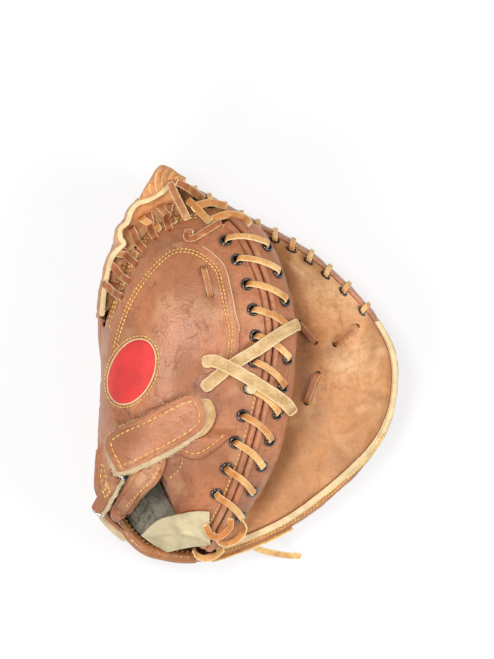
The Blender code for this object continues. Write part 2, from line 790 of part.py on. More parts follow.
TIE_UPPER = [
    (43, 33, 4.5), (38, 31, 7), (26, 24, 8), (10, 13, 8), (-8, 2, 6), (-22, -9, 4.4), (-33, -18, 4.4),
]
TIE_LOWER = [
    (-33, 3, 4.6), (-24, 4, 6.4), (-12, -1, 9.6), (4, -10, 9.6), (20, -20, 8.6), (32, -29, 8.6), (39.5, -38, 8.4),
]
TOE_KNOT = [(-19, 114, 2.6), (-26, 109.5, 2.8), (-34, 104.5, 3.6), (-41, 100.5, 4.6)]
HEEL_LOOP = [(-11, -121, 3.8), (-12, -129, 4.2), (-20, -136, 4.8), (-27, -134, 5.6), (-31, -126, 5.6)]
TAG_OUTLINE = [(-82, -134), (-67, -123), (-47, -117), (-30, -115), (-31, -139), (-44, -144), (-63, -147)]


def add_thumb_strip(name, route, count, width, thickness, body, material):
    route = smooth(route, count)
    path = placed(thumb_top, route[:, :2], route[:, 2])
    way = np.gradient(route[:, :2], axis=0)
    across = np.column_stack([-way[:, 1], way[:, 0], np.zeros(count)])
    strip(name, path, across, width, thickness, body, material, round_ends=True)


def add_thumb_ties(body, suede, rawhide, overlay):
    add_thumb_strip("tie_lace_upper", TIE_UPPER, 24, TIE_WIDTH, TIE_THICKNESS, body, suede)
    add_thumb_strip("tie_lace_lower", TIE_LOWER, 24, TIE_WIDTH, TIE_THICKNESS, body, suede)
    add_thumb_strip("toe_knot", TOE_KNOT, 8, LACE_WIDTH, 1.8, body, rawhide)
    add_thumb_strip("heel_loop_lace", HEEL_LOOP, 14, LACE_WIDTH, LACE_THICKNESS, body, rawhide)
    places = add_staple("back_tie", on_thumb, ((-32, 77), (-27, 55)), 2.6, 4.0, body, rawhide)
    normals = [thumb_normal(place[:2]) for place in places]
    cut(overlay, hole_cutter("back_tie_holes", places, normals, 3.4, 8, body))


TAG_EDGE = -47.0
TAG_SLOPE = 1.06


def tag_height(x, y):
    """The tag lies on the thumb as far as the leather's edge, and hangs from there down to the heel."""
    over = thumb_top(np.maximum(x, TAG_EDGE), y)
    return over - TAG_SLOPE * np.maximum(TAG_EDGE - x, 0)


def add_size_tag(body, cloth):
    panel("size_tag", TAG_OUTLINE, 24, (-52, -131), 2.2, 1.0, body, cloth, surface=tag_height)


# The lace round the thumb's far edge, next to the web
WEB_EDGE = [(-105, 52), (-98, 73), (-84, 100), (-63, 116), (-46, 120)]
# One turn of it: distance out from the edge, lift, and share of the pitch
WEB_TURN = [
    (-7.5, -4.5, -0.02), (-7.5, 2.6, 0.03), (-2.5, 3.4, 0.1), (3.0, 1.5, 0.2), (5.5, -5.0, 0.3),
    (3.5, -11.5, 0.45), (-2.0, -10.0, 0.7), (-6.0, -9.0, 0.9),
]
WEB_LACE_TURNS = 7
WEB_HOLE = 4.6


def web_edge_place(turn, out, up):
    """A place by its turn along the edge, distance out and lift, with the edge's own way there."""
    edge = smooth(WEB_EDGE, 200)
    at = int((turn + 0.3) / (WEB_LACE_TURNS + 0.5) * (len(edge) - 1))
    way = unit(edge[at + 1] - edge[at - 1])
    left = np.array([-way[1], way[0]])
    if out < 0:
        return on_thumb((edge[at] + left * out)[None], np.array([up]))[0], way
    return on_thumb(edge[at][None], np.zeros(1))[0] + np.array([*left * out, up]), way


def add_web_lace(body, rawhide, back):
    turns = range(WEB_LACE_TURNS)
    stops = [web_edge_place(turn + ahead, out, up) for turn in turns for out, up, ahead in WEB_TURN]
    stops = stops[:-2]
    count = WEB_LACE_TURNS * 11
    path = smooth([place for place, _ in stops], count)
    across = smooth([(*way, 0.2) for _, way in stops], count)
    strip("web_lace", path, across, 4.4, LACE_THICKNESS, body, rawhide)
    holes = [web_edge_place(turn, WEB_TURN[0][0], 0)[0] for turn in turns]
    normals = [thumb_normal(hole[:2]) for hole in holes]
    cut(back, hole_cutter("web_lace_holes", holes, normals, WEB_HOLE, 12, body))


# The wrist strap

WRIST_TAB = [
    (-5, -47), (-7.5, -52), (-14, -58.5), (-25, -68), (-36.5, -73.5), (-47, -72), (-56, -66), (-58, -57),
    (-44, -46), (-22, -42),
]
TONGUE = [
    (-62, -73), (-63, -81), (-68, -91), (-78, -101.5), (-87, -111), (-95.5, -120.5), (-102, -124.5),
    (-106, -122), (-106.5, -117), (-102, -107), (-95.5, -96.5), (-89, -88), (-80, -80.5), (-68, -72),
]
ANCHOR_TAB = [(-112, -72), (-104, -74), (-103, -88), (-109, -103), (-114, -107), (-116, -95), (-115, -80)]
LINER = [(-72, -52), (-46, -32), (-29, -25.5), (-22.5, -37), (-27.5, -50), (-38, -57), (-64, -68)]
FLAP = [
    (-108.5, -56), (-76, -38), (-45, -23), (-34, -26.5), (-30.5, -38.5), (-35, -50.5), (-61.5, -68),
    (-96, -85), (-103, -80),
]
FLAP_HINGE = ((-108.5, -56), (-101, -84))
FLAP_LIFT = 10.8
RING_CENTRE = (-104.0, -104.0)
RING_WAY = (0.5, 0.866)
RING_LONG = 36.0
RING_SHORT = 9.0
RING_CORNER = 3.0
RING_WIRE = 1.3
RING_LIFT = 5.0


def wrist_height(x, y):
    """The thumb's dome carried on past its edge, as the strap and tabs lie."""
    share = np.minimum(THUMB.share(x, y), 0.93)
    crown = 138 - 45 * past(-y, 60) ** 2
    rim = thumb_rim(x, y)
    return rim + (crown - rim) * np.sqrt(1 - share**3)


def on_wrist(xy, lift):
    return placed(wrist_height, np.asarray(xy, float), lift)


def add_wrist_tabs(body, leather, suede):
    panel("thumb_wrist_tab", WRIST_TAB, 26, (-32, -54), 1.0, 5.0, body, leather, 2.8)
    panel("wrist_tongue", TONGUE, 26, (-83, -97), 1.4, 5.4, body, leather, 3.0, wrist_height)
    panel("strap_anchor_tab", ANCHOR_TAB, 18, (-109, -88), 1.2, 1.7, body, leather, 0.5, wrist_height)
    panel("strap_liner", LINER, 24, (-46, -46), 7.6, 1.8, body, suede, 0.4, wrist_height)


def add_strap_flap(body, leather):
    panel("strap_flap", FLAP, 30, (-68, -53), FLAP_LIFT, 3.2, body, leather, 0.8, wrist_height)


def ring_axis():
    """Both ends of the ring's hinge bar."""
    way = np.array(RING_WAY) * RING_LONG / 2
    ends = np.array([np.array(RING_CENTRE) - way, np.array(RING_CENTRE) + way])
    return on_wrist(ends, np.full(2, RING_LIFT))


def add_strap_ring(body, steel):
    low, high = ring_axis()
    along = unit(high - low)
    middle = np.array([[RING_CENTRE[0] - 3.5, RING_CENTRE[1] + 2.0]])
    normal = (lifted(wrist_height, middle, np.ones(1)) - lifted(wrist_height, middle, np.zeros(1)))[0]
    out = unit(np.cross(normal, along))
    near, far = out * RING_CORNER, out * (RING_SHORT - RING_CORNER)
    start, end = low + along * RING_CORNER, high - along * RING_CORNER
    path = []
    for quarter, centre in ((2, start + near), (3, end + near), (0, end + far), (1, start + far)):
        for turn in np.radians(quarter * 90 + np.linspace(0, 90, 4)):
            path.append(centre + RING_CORNER * (along * math.cos(turn) + out * math.sin(turn)))
    tube("strap_ring", path, RING_WIRE, body, steel, closed=True)


# The whole mitt

def main():
    clear_scene()
    brown = add_material("brown_leather", (0.60, 0.29, 0.16), 0.45)
    tan = add_material("tan_leather", (0.66, 0.36, 0.18), 0.5)
    roll = add_material("roll_leather", (0.50, 0.23, 0.10), 0.4)
    rawhide = add_material("rawhide", (0.72, 0.42, 0.18), 0.6)
    suede = add_material("suede", (0.68, 0.45, 0.22), 0.9)
    felt = add_material("pad_felt", (0.75, 0.72, 0.66), 0.95)
    fleece = add_material("grey_fleece", (0.18, 0.16, 0.13), 0.95)
    cloth = add_material("tag_cloth", (0.64, 0.56, 0.38), 0.85)
    red = add_material("red_patch", (0.78, 0.05, 0.05), 0.6)
    enamel = add_material("black_enamel", (0.02, 0.02, 0.025), 0.25, 0.5)
    steel = add_material("nickel_wire", (0.75, 0.74, 0.72), 0.25, 1.0)

    fingers = add_body("finger_half", (0, 0, 0))
    thumb = add_body("thumb_half", (FOLD_HEEL + FOLD_TOE) / 2)
    flap_middle = np.array(FLAP_HINGE).mean(0)[None]
    flap = add_body("strap_flap_hinge", on_wrist(flap_middle, np.array([FLAP_LIFT]))[0])
    ring = add_body("strap_ring_hinge", ring_axis().mean(0))

    back = add_finger_back(fingers, brown)
    palm = add_palm_layers(fingers, tan, felt)
    add_wrist_lining(fingers, fleece)
    add_heel_roll(fingers, roll)
    add_rim_binding(fingers, suede)
    add_toe_lace(fingers, rawhide, back, palm)
    add_palm_ties(fingers, rawhide, palm)
    add_heel_lace(fingers, rawhide)
    add_web(fingers, tan)
    add_palm_crease(fingers, tan)
    add_back_gusset(fingers, brown)
    add_anchor_strap(fingers, brown)

    thumb_back = add_thumb_back(thumb, brown)
    thumb_palm = add_thumb_palm(thumb, brown)
    add_thumb_pad(thumb, felt)
    overlay = add_overlay(thumb, brown)
    add_badge(thumb, red)
    add_welts(thumb, brown)
    add_eyelets(thumb, enamel, thumb_back, thumb_palm)
    add_thumb_lace(thumb, rawhide)
    add_thumb_ties(thumb, suede, rawhide, overlay)
    add_size_tag(thumb, cloth)
    add_web_crown(thumb, tan)
    add_web_lace(thumb, rawhide, thumb_back)
    add_wrist_tabs(thumb, brown, suede)
    add_strap_flap(flap, brown)
    add_strap_ring(ring, steel)


main()
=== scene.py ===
"""Dresses a baseball catcher's mitt in leather, lacing, stitching and cloth, on a plain studio stage.

Helpers work in millimetres in the frame's own axes: X to the right, Y from heel to toe, Z up from the table.
Meshes are made in metres, and each piece's place is in its mesh.
"""

import json
import math

import bmesh
import bpy
import numpy as np
from bpy.props import FloatProperty, FloatVectorProperty, PointerProperty
from mathutils import Matrix, Vector, noise


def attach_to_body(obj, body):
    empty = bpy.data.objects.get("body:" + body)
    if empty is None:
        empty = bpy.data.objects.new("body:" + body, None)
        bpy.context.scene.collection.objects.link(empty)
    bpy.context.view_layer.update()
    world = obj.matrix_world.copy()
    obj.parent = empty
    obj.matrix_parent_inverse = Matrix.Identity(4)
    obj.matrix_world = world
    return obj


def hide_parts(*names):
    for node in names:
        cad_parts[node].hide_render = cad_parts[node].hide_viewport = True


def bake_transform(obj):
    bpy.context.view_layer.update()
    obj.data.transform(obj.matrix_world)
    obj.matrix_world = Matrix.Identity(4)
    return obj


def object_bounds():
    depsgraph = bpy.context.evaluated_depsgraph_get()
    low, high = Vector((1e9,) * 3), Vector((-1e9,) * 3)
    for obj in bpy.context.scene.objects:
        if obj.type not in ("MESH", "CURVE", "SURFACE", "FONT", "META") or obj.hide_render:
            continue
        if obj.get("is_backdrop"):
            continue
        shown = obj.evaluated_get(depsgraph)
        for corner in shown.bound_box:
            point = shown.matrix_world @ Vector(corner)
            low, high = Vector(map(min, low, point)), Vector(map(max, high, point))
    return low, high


bl_info = {
    "name": "Catcher's Mitt",
    "version": (1, 0, 0),
    "blender": (4, 5, 0),
    "location": "View3D > Sidebar > Mitt",
    "description": "Dresses a catcher's mitt in leather, lacing, stitching and cloth",
    "category": "Object",
}

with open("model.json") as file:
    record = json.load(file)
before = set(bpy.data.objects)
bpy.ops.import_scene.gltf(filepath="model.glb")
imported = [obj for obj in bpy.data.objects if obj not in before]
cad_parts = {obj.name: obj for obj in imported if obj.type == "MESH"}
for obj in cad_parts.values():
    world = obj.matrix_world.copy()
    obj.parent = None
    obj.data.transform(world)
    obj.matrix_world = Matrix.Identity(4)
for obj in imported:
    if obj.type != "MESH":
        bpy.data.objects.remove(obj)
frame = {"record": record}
CAD_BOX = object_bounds()
SLOT_COLOURS = {material["slot"]: material["base_color"] for material in frame["record"]["materials"]}
MM = 0.001
UP = (0, 0, 1)
DOWN = (0, 0, -1)
FOLD_SIDE = (-1, 0, 0)

# Outlines seen from above, as smooth loops
FINGER_CENTRE = np.array([-5.0, -5.0])
FINGER_OUTLINE = [
    (-32, -157), (44, -126), (107, -66), (123, -8), (107, 38), (56, 89), (0, 121),
    (-48, 146), (-72, 147), (-103, 104), (-117, 45), (-115, -8), (-117, -95), (-100, -131), (-70, -150),
]
THUMB_CENTRE = np.array([-42.0, -8.0])
THUMB_OUTLINE = [
    (-22, -150), (14, -100), (31, -60), (41, 0), (40, 46), (20, 101), (-4, 120), (-34, 127),
    (-84, 104), (-111, 44), (-116.5, -20), (-116, -95), (-100, -122), (-70, -142), (-42, -153),
]
SEAM = [(-31, -146), (-12, -110), (3, -71), (15, -27), (22, 17), (17, 60), (2, 98), (-12, 115)]
BACK_EDGE = [
    (-44, -146), (-46, -128), (-56, -104), (-66, -84), (-86, -73), (-112.5, -66), (-113.5, 0),
    (-108, 44), (-82, 101), (-60, 117), (-36, 122), (-20, 117),
]
CREASE = [(-52, -128), (-72, -85), (-82, -30), (-84, 30), (-79, 78), (-66, 108)]
EDGE_FROM_SEAM = 5.8
WELT_FROM_SEAM = 2.9
POCKET_FLOOR = 42.0

# The finger rim's mean height, and how far it rises to the right, to the toe and to both sides
RIM_MEAN = 53
RIM_RIGHT = 2
RIM_TOE = 6
RIM_SIDES = 7
# The thumb half's edge and top: heights, and drops at heel and toe past the level stretch
THUMB_LEFT = -117
THUMB_EDGE = 60
THUMB_SLOPE = 0.275
THUMB_CROWN = 138
THUMB_DEPTH = 12
EDGE_DROPS = (24, 6)
CROWN_DROPS = (45, 12)
LEVEL_FROM = -60
LEVEL_TO = 40
DROP_LENGTH = 90
# The padded heel beside the tag: how far it stands out, its angle and its half width in degrees
SWELL = 6.0
SWELL_ANGLE = -116.5
SWELL_WIDTH = 8.0

# Eyelets along the seam
EYELETS = 11
EYELET_FROM_SEAM = 13.0
FIRST_BACK_EYELET = 45.0
BACK_PITCH = 22.5
FIRST_PALM_EYELET = 35.5
PALM_PITCH = 21.2


def size_property(name, description, millimetres):
    return FloatProperty(
        name=name, description=description, default=millimetres * MM, min=0.0, subtype="DISTANCE",
        unit="LENGTH",
    )


def colour_property(name, description, default):
    return FloatVectorProperty(
        name=name, description=description, default=default, size=3, min=0.0, max=1.0, subtype="COLOR"
    )


class MittSizes(bpy.types.PropertyGroup):
    """Stock sizes of the laces, welts, eyelets, thread and wire."""

    lace_width: size_property("Lace width", "Width of the rawhide lace", 5.4)
    lace_thickness: size_property("Lace thickness", "Thickness of the rawhide lace", 1.6)
    tie_width: size_property("Tie width", "Width of the suede ties", 10.0)
    tie_thickness: size_property("Tie thickness", "Thickness of the suede ties", 2.2)
    welt: size_property("Welt", "Radius of the two welts along the seam", 2.7)
    roll: size_property("Heel roll", "Radius of the rolled edge at the heel", 5.0)
    eyelet: size_property("Eyelet", "Outer radius of an eyelet's flange", 5.2)
    bore: size_property("Eyelet bore", "Radius of an eyelet's bore", 3.1)
    thread: size_property("Thread", "Thickness of the stitching thread", 1.1)
    stitch: size_property("Stitch", "Length of one stitch", 2.7)
    stitch_pitch: size_property("Stitch pitch", "Distance from one stitch to the next", 3.9)
    wire: size_property("Ring wire", "Radius of the strap ring's wire", 1.3)


class MittColours(bpy.types.PropertyGroup):
    """Colours of the leathers, laces and trim."""

    brown: colour_property("Brown leather", "Back of the mitt", (0.56, 0.215, 0.098))
    tan: colour_property("Tan leather", "Pocket and web", (0.75, 0.345, 0.135))
    roll: colour_property("Roll leather", "Rolled edge at the heel", (0.43, 0.175, 0.065))
    rawhide: colour_property("Rawhide", "Grain side of the laces", (0.72, 0.25, 0.055))
    faded: colour_property("Faded rawhide", "Grain side where it is rubbed", (0.90, 0.65, 0.27))
    dark_rawhide: colour_property("Dark rawhide", "Laces of the web and the short ties", (0.43, 0.125, 0.04))
    suede: colour_property("Suede", "Ties, and the strap's liner and backing", (0.60, 0.36, 0.15))
    # The felt is painted dark as shade, since it shows only through the holes.
    felt: colour_property("Felt", "Pads inside the two halves", (0.12, 0.08, 0.05))
    # The fleece is grey, and painted darker still as the shade inside the wrist opening.
    fleece: colour_property("Fleece", "Lining of the wrist opening", (0.13, 0.118, 0.09))
    cloth: colour_property("Cloth", "Sewn-in tag", (0.68, 0.57, 0.35))
    patch: colour_property("Patch", "Oval patch", (0.75, 0.032, 0.032))
    enamel: colour_property("Enamel", "Eyelets", SLOT_COLOURS["black_enamel"])
    nickel: colour_property("Nickel", "Strap ring", SLOT_COLOURS["nickel_wire"])
    thread: colour_property("Thread", "Stitching", (0.86, 0.58, 0.15))
    cut_edge: colour_property("Cut edge", "Raw edges of the leather", (0.80, 0.62, 0.36))


def stock(name):
    """A stock size in millimetres."""
    return getattr(bpy.context.scene.mitt_sizes, name) / MM


def paint(name):
    """A colour with its alpha."""
    return (*getattr(bpy.context.scene.mitt_colours, name), 1.0)


# Curves and surfaces

def run_along(line):
    """The distance along a line of points from its start to each of them."""
    return np.concatenate([[0], np.cumsum(np.linalg.norm(np.diff(line, axis=0), axis=1))])


def smooth(points, count, closed=False):
    """Points spread evenly by length along a smooth curve through the given ones."""
    points = np.array(points, float)
    last = len(points) if closed else len(points) - 1
    if closed:
        padded = np.vstack([points[-1:], points, points[:2]])
    else:
        padded = np.vstack([2 * points[0] - points[1], points, 2 * points[-1] - points[-2]])
    t = np.linspace(0, 1, 24, endpoint=False)[:, None]
    pieces = []
    for i in range(last):
        a, b, c, d = padded[i : i + 4]
        pieces.append(
            0.5 * (2 * b + (c - a) * t + (2 * a - 5 * b + 4 * c - d) * t**2 + (3 * b - a - 3 * c + d) * t**3)
        )
    dense = np.vstack(pieces + [points[:1] if closed else points[-1:]])
    length = run_along(dense)
    wanted = np.linspace(0, length[-1], count, endpoint=not closed)
    return np.column_stack([np.interp(wanted, length, column) for column in dense.T])


def along_line(line, share):
    """Places along a line of points, by their share of its length."""
    length = run_along(line)
    return np.stack([np.interp(np.asarray(share) * length[-1], length, column) for column in line.T], -1)


def between(start, end, count):
    """A row of points from each start to its end, evenly spread."""
    return start[:, None] + (end - start)[:, None] * np.linspace(0, 1, count)[None, :, None]


def left_of(way):
    """Level vectors a quarter turn to the left of the given ones."""
    return np.column_stack([-way[:, 1], way[:, 0], np.zeros(len(way))])


def unit(vectors):
    vectors = np.asarray(vectors, float)
    return vectors / np.maximum(np.linalg.norm(vectors, axis=-1, keepdims=True), 1e-9)


def ease(value, low=0.0, high=1.0):
    """Rises smoothly from 0 at low to 1 at high."""
    t = np.clip((np.asarray(value, float) - low) / (high - low), 0, 1)
    return t * t * (3 - 2 * t)


class Outline:
    """A star-shaped outline, read as a radius by angle about its centre."""

    def __init__(self, points, centre):
        self.centre = np.array(centre, float)
        around = smooth(points, 480, closed=True) - self.centre
        angles = np.arctan2(around[:, 1], around[:, 0])
        order = np.argsort(angles)
        self.angles = angles[order]
        self.radii = np.linalg.norm(around, axis=1)[order]

    def radius(self, angle):
        return np.interp(angle, self.angles, self.radii, period=2 * math.pi)

    def share(self, x, y):
        """How far out a point lies: 0 at the centre and 1 on the outline."""
        x, y = x - self.centre[0], y - self.centre[1]
        return np.hypot(x, y) / self.radius(np.arctan2(y, x))

    def at(self, angle, share):
        reach = self.radius(angle) * share
        return np.stack([self.centre[0] + reach * np.cos(angle), self.centre[1] + reach * np.sin(angle)], -1)


FINGERS = Outline(FINGER_OUTLINE, FINGER_CENTRE)
THUMB = Outline(THUMB_OUTLINE, THUMB_CENTRE)


def finger_rim(angle):
    """Height of the finger half's rim, which dips at the heel."""
    return RIM_MEAN + RIM_RIGHT * np.cos(angle) + RIM_TOE * np.sin(angle) + RIM_SIDES * np.cos(2 * angle)


def palm_height(x, y):
    share = FINGERS.share(x, y)
    rim = finger_rim(np.arctan2(y - FINGER_CENTRE[1], x - FINGER_CENTRE[0]))
    return POCKET_FLOOR + (rim - POCKET_FLOOR) * share**2.5


def past(y, start):
    return np.maximum(y - start, 0) / DROP_LENGTH


def dropped(height, y, drops):
    """A height that drops towards the heel and the toe."""
    return height - drops[0] * past(-y, -LEVEL_FROM) ** 2 - drops[1] * past(y, LEVEL_TO) ** 2


def thumb_rim(x, y):
    """Height of the thumb half's edge: it rises from the fold to the open side, and drops at heel and toe."""
    return dropped(THUMB_EDGE + THUMB_SLOPE * (x - THUMB_LEFT), y, EDGE_DROPS)


def thumb_dome(x, y, widest):
    share = np.minimum(THUMB.share(x, y), widest)
    crown = dropped(THUMB_CROWN, y, CROWN_DROPS)
    rim = thumb_rim(x, y)
    return rim + (crown - rim) * np.sqrt(1 - share**3)


def thumb_top(x, y):
    return thumb_dome(x, y, 0.999)


def wrist_height(x, y):
    """The thumb's dome carried on past its edge, as the strap and tabs lie."""
    return thumb_dome(x, y, 0.93)


def thumb_under(x, y):
    share = np.minimum(THUMB.share(x, y), 0.999)
    return thumb_rim(x, y) - THUMB_DEPTH * np.sqrt(1 - share**4)


def surface_normal(surface, xy):
    x, y = xy[..., 0], xy[..., 1]
    step = 0.6
    slope_x = (surface(x + step, y) - surface(x - step, y)) / (2 * step)
    slope_y = (surface(x, y + step) - surface(x, y - step)) / (2 * step)
    return unit(np.stack([-slope_x, -slope_y, np.ones_like(slope_x)], -1))


def lifted(surface, xy, lift):
    """Points over a height surface, moved out along its normal."""
    xy = np.asarray(xy, float)
    base = np.concatenate([xy, surface(xy[..., 0], xy[..., 1])[..., None]], -1)
    return base + surface_normal(surface, xy) * np.asarray(lift)[..., None]


def spots_on(surface, xy, lift=0.0):
    """Places over a surface, and its normals there."""
    return lifted(surface, xy, np.full(len(xy), lift)), surface_normal(surface, xy)


def mound(xy, x, y, wide, long):
    """1 at a place, falling off smoothly to the sides by wide and along Y by long."""
    return np.exp(-(((xy[..., 0] - x) / wide) ** 2) - ((xy[..., 1] - y) / long) ** 2)


def ridge(value, at, width=1.0):
    """1 where a value is at the given one, falling off smoothly to both sides."""
    return np.exp(-(((value - at) / width) ** 2))


def placed(surface, xy, lift):
    """Points over a height surface that show at the given places when seen from above."""
    xy = np.asarray(xy, float)
    base = xy
    for _ in range(4):
        base = base - 0.6 * (lifted(surface, base, lift)[..., :2] - xy)
    return lifted(surface, base, lift)


def heel_swell(angle):
    """How far the padded heel stands out beside the tag."""
    away = (np.degrees(angle) + (180 - SWELL_ANGLE)) % 360 - 180
    return SWELL * np.exp(-((away / SWELL_WIDTH) ** 2))


def polar_point(angle, reach, height):
    """A point by its angle and distance from the middle of the finger half."""
    x = FINGER_CENTRE[0] + reach * np.cos(angle)
    y = FINGER_CENTRE[1] + reach * np.sin(angle)
    return np.stack([x, y, height], -1)


# The shell's side from its foot to its rim: share of the outline, and share of the rim's height
BACK_PROFILE = [
    (0, 0), (0.35, 0), (0.6, 0.03), (0.8, 0.13), (0.93, 0.35), (1, 0.62), (1.01, 0.8), (0.985, 1),
]
RIM_SHARE = BACK_PROFILE[-1][0]


def rim_point(angle, out, up):
    """A point by its angle, its distance out from the finger rim's outer edge and its height over the rim."""
    reach = FINGERS.radius(angle) * RIM_SHARE + heel_swell(angle) + out
    return polar_point(angle, reach, finger_rim(angle) + up)


def ripple(points, scale, seed, octaves=3):
    """Even noise from -1 to 1 at each point, with its features about scale millimetres across."""
    offset = Vector((seed * 17.3, seed * -9.1, seed * 4.7))
    flat = np.asarray(points, float).reshape(-1, points.shape[-1])
    values = [noise.fractal(Vector((*p, 0)[:3]) / scale + offset, 1.0, 2.0, octaves) for p in flat]
    return np.array(values).reshape(points.shape[:-1])


def creases(points, scale, seed, stretch=(1, 1, 1)):
    """Narrow folds: 0 over most of the surface and -1 at the bottom of a fold."""
    waves = ripple(np.asarray(points, float) * np.array(stretch), scale, seed, 2)
    return -np.maximum(0, 1 - np.abs(waves) * 5) ** 1.5


# Meshes

def select_only(obj):
    bpy.ops.object.select_all(action="DESELECT")
    obj.select_set(True)
    bpy.context.view_layer.objects.active = obj


def apply_modifier(obj, name, kind, **settings):
    """Adds a modifier to an object and applies it."""
    modifier = obj.modifiers.new(name, kind)
    for setting, value in settings.items():
        setattr(modifier, setting, value)
    select_only(obj)
    bpy.ops.object.modifier_apply(modifier=modifier.name)


def set_points(obj, points):
    obj.data.vertices.foreach_set("co", (np.asarray(points).reshape(-1, 3) * MM).ravel())
    obj.data.update()


def finish_mesh(obj, finishes, sharp=40):
    obj.data.materials.clear()
    for finish in finishes:
        obj.data.materials.append(material_for(finish))
    obj.data.shade_smooth()
    obj.data.set_sharp_from_angle(angle=math.radians(sharp))
    return obj


def get_points(obj):
    """Every vertex's place, in metres."""
    flat = np.empty(len(obj.data.vertices) * 3)
    obj.data.vertices.foreach_get("co", flat)
    return flat.reshape(-1, 3)


def new_grid(name, columns, rows):
    """A flat unit grid, and each vertex's share across and along it."""
    bpy.ops.object.select_all(action="DESELECT")
    bpy.ops.mesh.primitive_grid_add(x_subdivisions=columns, y_subdivisions=rows, size=2)
    obj = bpy.context.object
    obj.name = name
    flat = get_points(obj)
    return obj, (flat[:, 0] + 1) / 2, (flat[:, 1] + 1) / 2


def face_along(obj, way):
    """Turns a sheet's faces over when most of them face against the given way."""
    normals = np.empty(len(obj.data.polygons) * 3)
    obj.data.polygons.foreach_get("normal", normals)
    if normals.reshape(-1, 3).mean(0) @ np.asarray(way, float) < 0:
        obj.data.flip_normals()


# Angles in degrees: edges that are bevelled, and edges that stay sharp
BEVEL_FROM = 50
SHARP_FROM = 48


def sheet(name, shape, columns, rows, thickness, way, finishes, edge=0.5, holes=None):
    """A sheet whose shown face is shape(across, along). Its edges and its back take the next finishes."""
    obj, across, along = new_grid(name, columns, rows)
    set_points(obj, shape(across, along))
    face_along(obj, way)
    last = len(finishes) - 1
    apply_modifier(
        obj, "thickness", "SOLIDIFY", thickness=thickness * MM, offset=-1, use_even_offset=False,
        material_offset_rim=min(1, last), material_offset=min(2, last),
    )
    finish_mesh(obj, finishes)
    if edge:
        apply_modifier(
            obj, "edge", "BEVEL", width=edge * MM, segments=2, limit_method="ANGLE",
            angle_limit=math.radians(BEVEL_FROM),
        )
    if holes:
        cut_holes(obj, *holes)
    obj.data.shade_smooth()
    obj.data.set_sharp_from_angle(angle=math.radians(SHARP_FROM))
    return obj


def upright(place, axis, way=None):
    """The turn and move that put a shape at a place, with its Z on an axis and its Y on a way."""
    turn = Vector(axis).to_track_quat("Z", "Y").to_matrix()
    if way is not None:
        up = Vector(axis).normalized()
        side = Vector(way).cross(up).normalized()
        turn = Matrix((side, up.cross(side), up)).transposed()
    return Matrix.Translation(Vector(place) * MM) @ turn.to_4x4()


def cut_holes(obj, places, axes, radius, depth, squash=1.0, ways=None):
    """Cuts round pins out of a sheet, or oval ones that are long along the given ways."""
    shape = bmesh.new()
    for place, axis, way in zip(places, axes, ways or [None] * len(places)):
        bmesh.ops.create_cone(
            shape, cap_ends=True, segments=24, radius1=radius * MM, radius2=radius * MM, depth=depth * MM,
            matrix=upright(place, axis, way) @ Matrix.Diagonal((squash, 1, 1, 1)),
        )
    for face in shape.faces:
        face.material_index = 1
    mesh = bpy.data.meshes.new("pins")
    shape.to_mesh(mesh)
    shape.free()
    pins = bpy.data.objects.new("pins", mesh)
    bpy.context.scene.collection.objects.link(pins)
    apply_modifier(obj, "holes", "BOOLEAN", operation="DIFFERENCE", solver="EXACT", object=pins)
    bpy.data.objects.remove(pins, do_unlink=True)
    bpy.data.meshes.remove(mesh)


def rounded_square(across, along):
    """The angle and the share outwards of each vertex when a square grid is rounded into a disc."""
    x, y = 2 * across - 1, 2 * along - 1
    share = np.maximum(np.abs(x), np.abs(y))
    turn = np.minimum(np.abs(x), np.abs(y)) / np.maximum(share, 1e-9) * math.pi / 4
    turn = np.where(np.abs(x) >= np.abs(y), turn, math.pi / 2 - turn)
    return np.arctan2(np.sin(turn) * np.sign(y + 1e-12), np.cos(turn) * np.sign(x + 1e-12)), share


def disc_shape(outline, centre, surface, lift):
    """A shape for a sheet: the square grid is rounded onto a star-shaped outline and laid on a surface.

    Lift takes the distance from the edge and the place, and gives the height over the surface.
    """
    loop = Outline(outline, centre)

    def shape(across, along):
        angle, share = rounded_square(across, along)
        xy = loop.at(angle, share)
        margin = (1 - share) * loop.radius(angle)
        return placed(surface, xy, lift(margin, xy))

    return shape


def face_outwards(obj, rolled_up=False):
    """Turns the faces outwards, after a rolled-up sheet is merged along its seam and filled at its ends."""
    select_only(obj)
    bpy.ops.object.mode_set(mode="EDIT")
    bpy.ops.mesh.select_all(action="SELECT")
    if rolled_up:
        bpy.ops.mesh.remove_doubles(threshold=1e-6)
        bpy.ops.mesh.fill_holes(sides=0)
    bpy.ops.mesh.normals_make_consistent(inside=False)
    bpy.ops.object.mode_set(mode="OBJECT")


def mesh_object(name, points, faces, finishes):
    mesh = bpy.data.meshes.new(name)
    mesh.from_pydata((np.asarray(points).reshape(-1, 3) * MM).tolist(), [], faces)
    obj = bpy.data.objects.new(name, mesh)
    bpy.context.scene.collection.objects.link(obj)
    face_outwards(obj)
    return finish_mesh(obj, finishes)


def frame_along(path, across, closed):
    """Unit vectors across a path and up from it. A closed path ends where it starts."""
    along = np.gradient(path, axis=0)
    if closed:
        along[[0, -1]] = path[1] - path[-2]
    along = unit(along)
    across = unit(across - along * np.sum(across * along, axis=1, keepdims=True))
    return across, np.cross(along, across)


def set_mask(obj, name, values):
    """Gives each vertex a value that the piece's material reads."""
    obj.data.attributes.new(name, "FLOAT", "POINT").data.foreach_set("value", np.asarray(values, np.float32))


def blots(xy, spots):
    """A mask of soft oval spots, each by place, half length, half width, tilt in degrees and strength."""
    total = np.zeros(len(xy))
    for x, y, long, wide, tilt, strength in spots:
        turn = math.radians(tilt)
        away = xy - np.array([x, y])
        along = away @ np.array([math.cos(turn), math.sin(turn)])
        across = away @ np.array([-math.sin(turn), math.cos(turn)])
        total = total + strength * np.exp(-((along / long) ** 2) - (across / wide) ** 2)
    return np.clip(total, 0, 1)


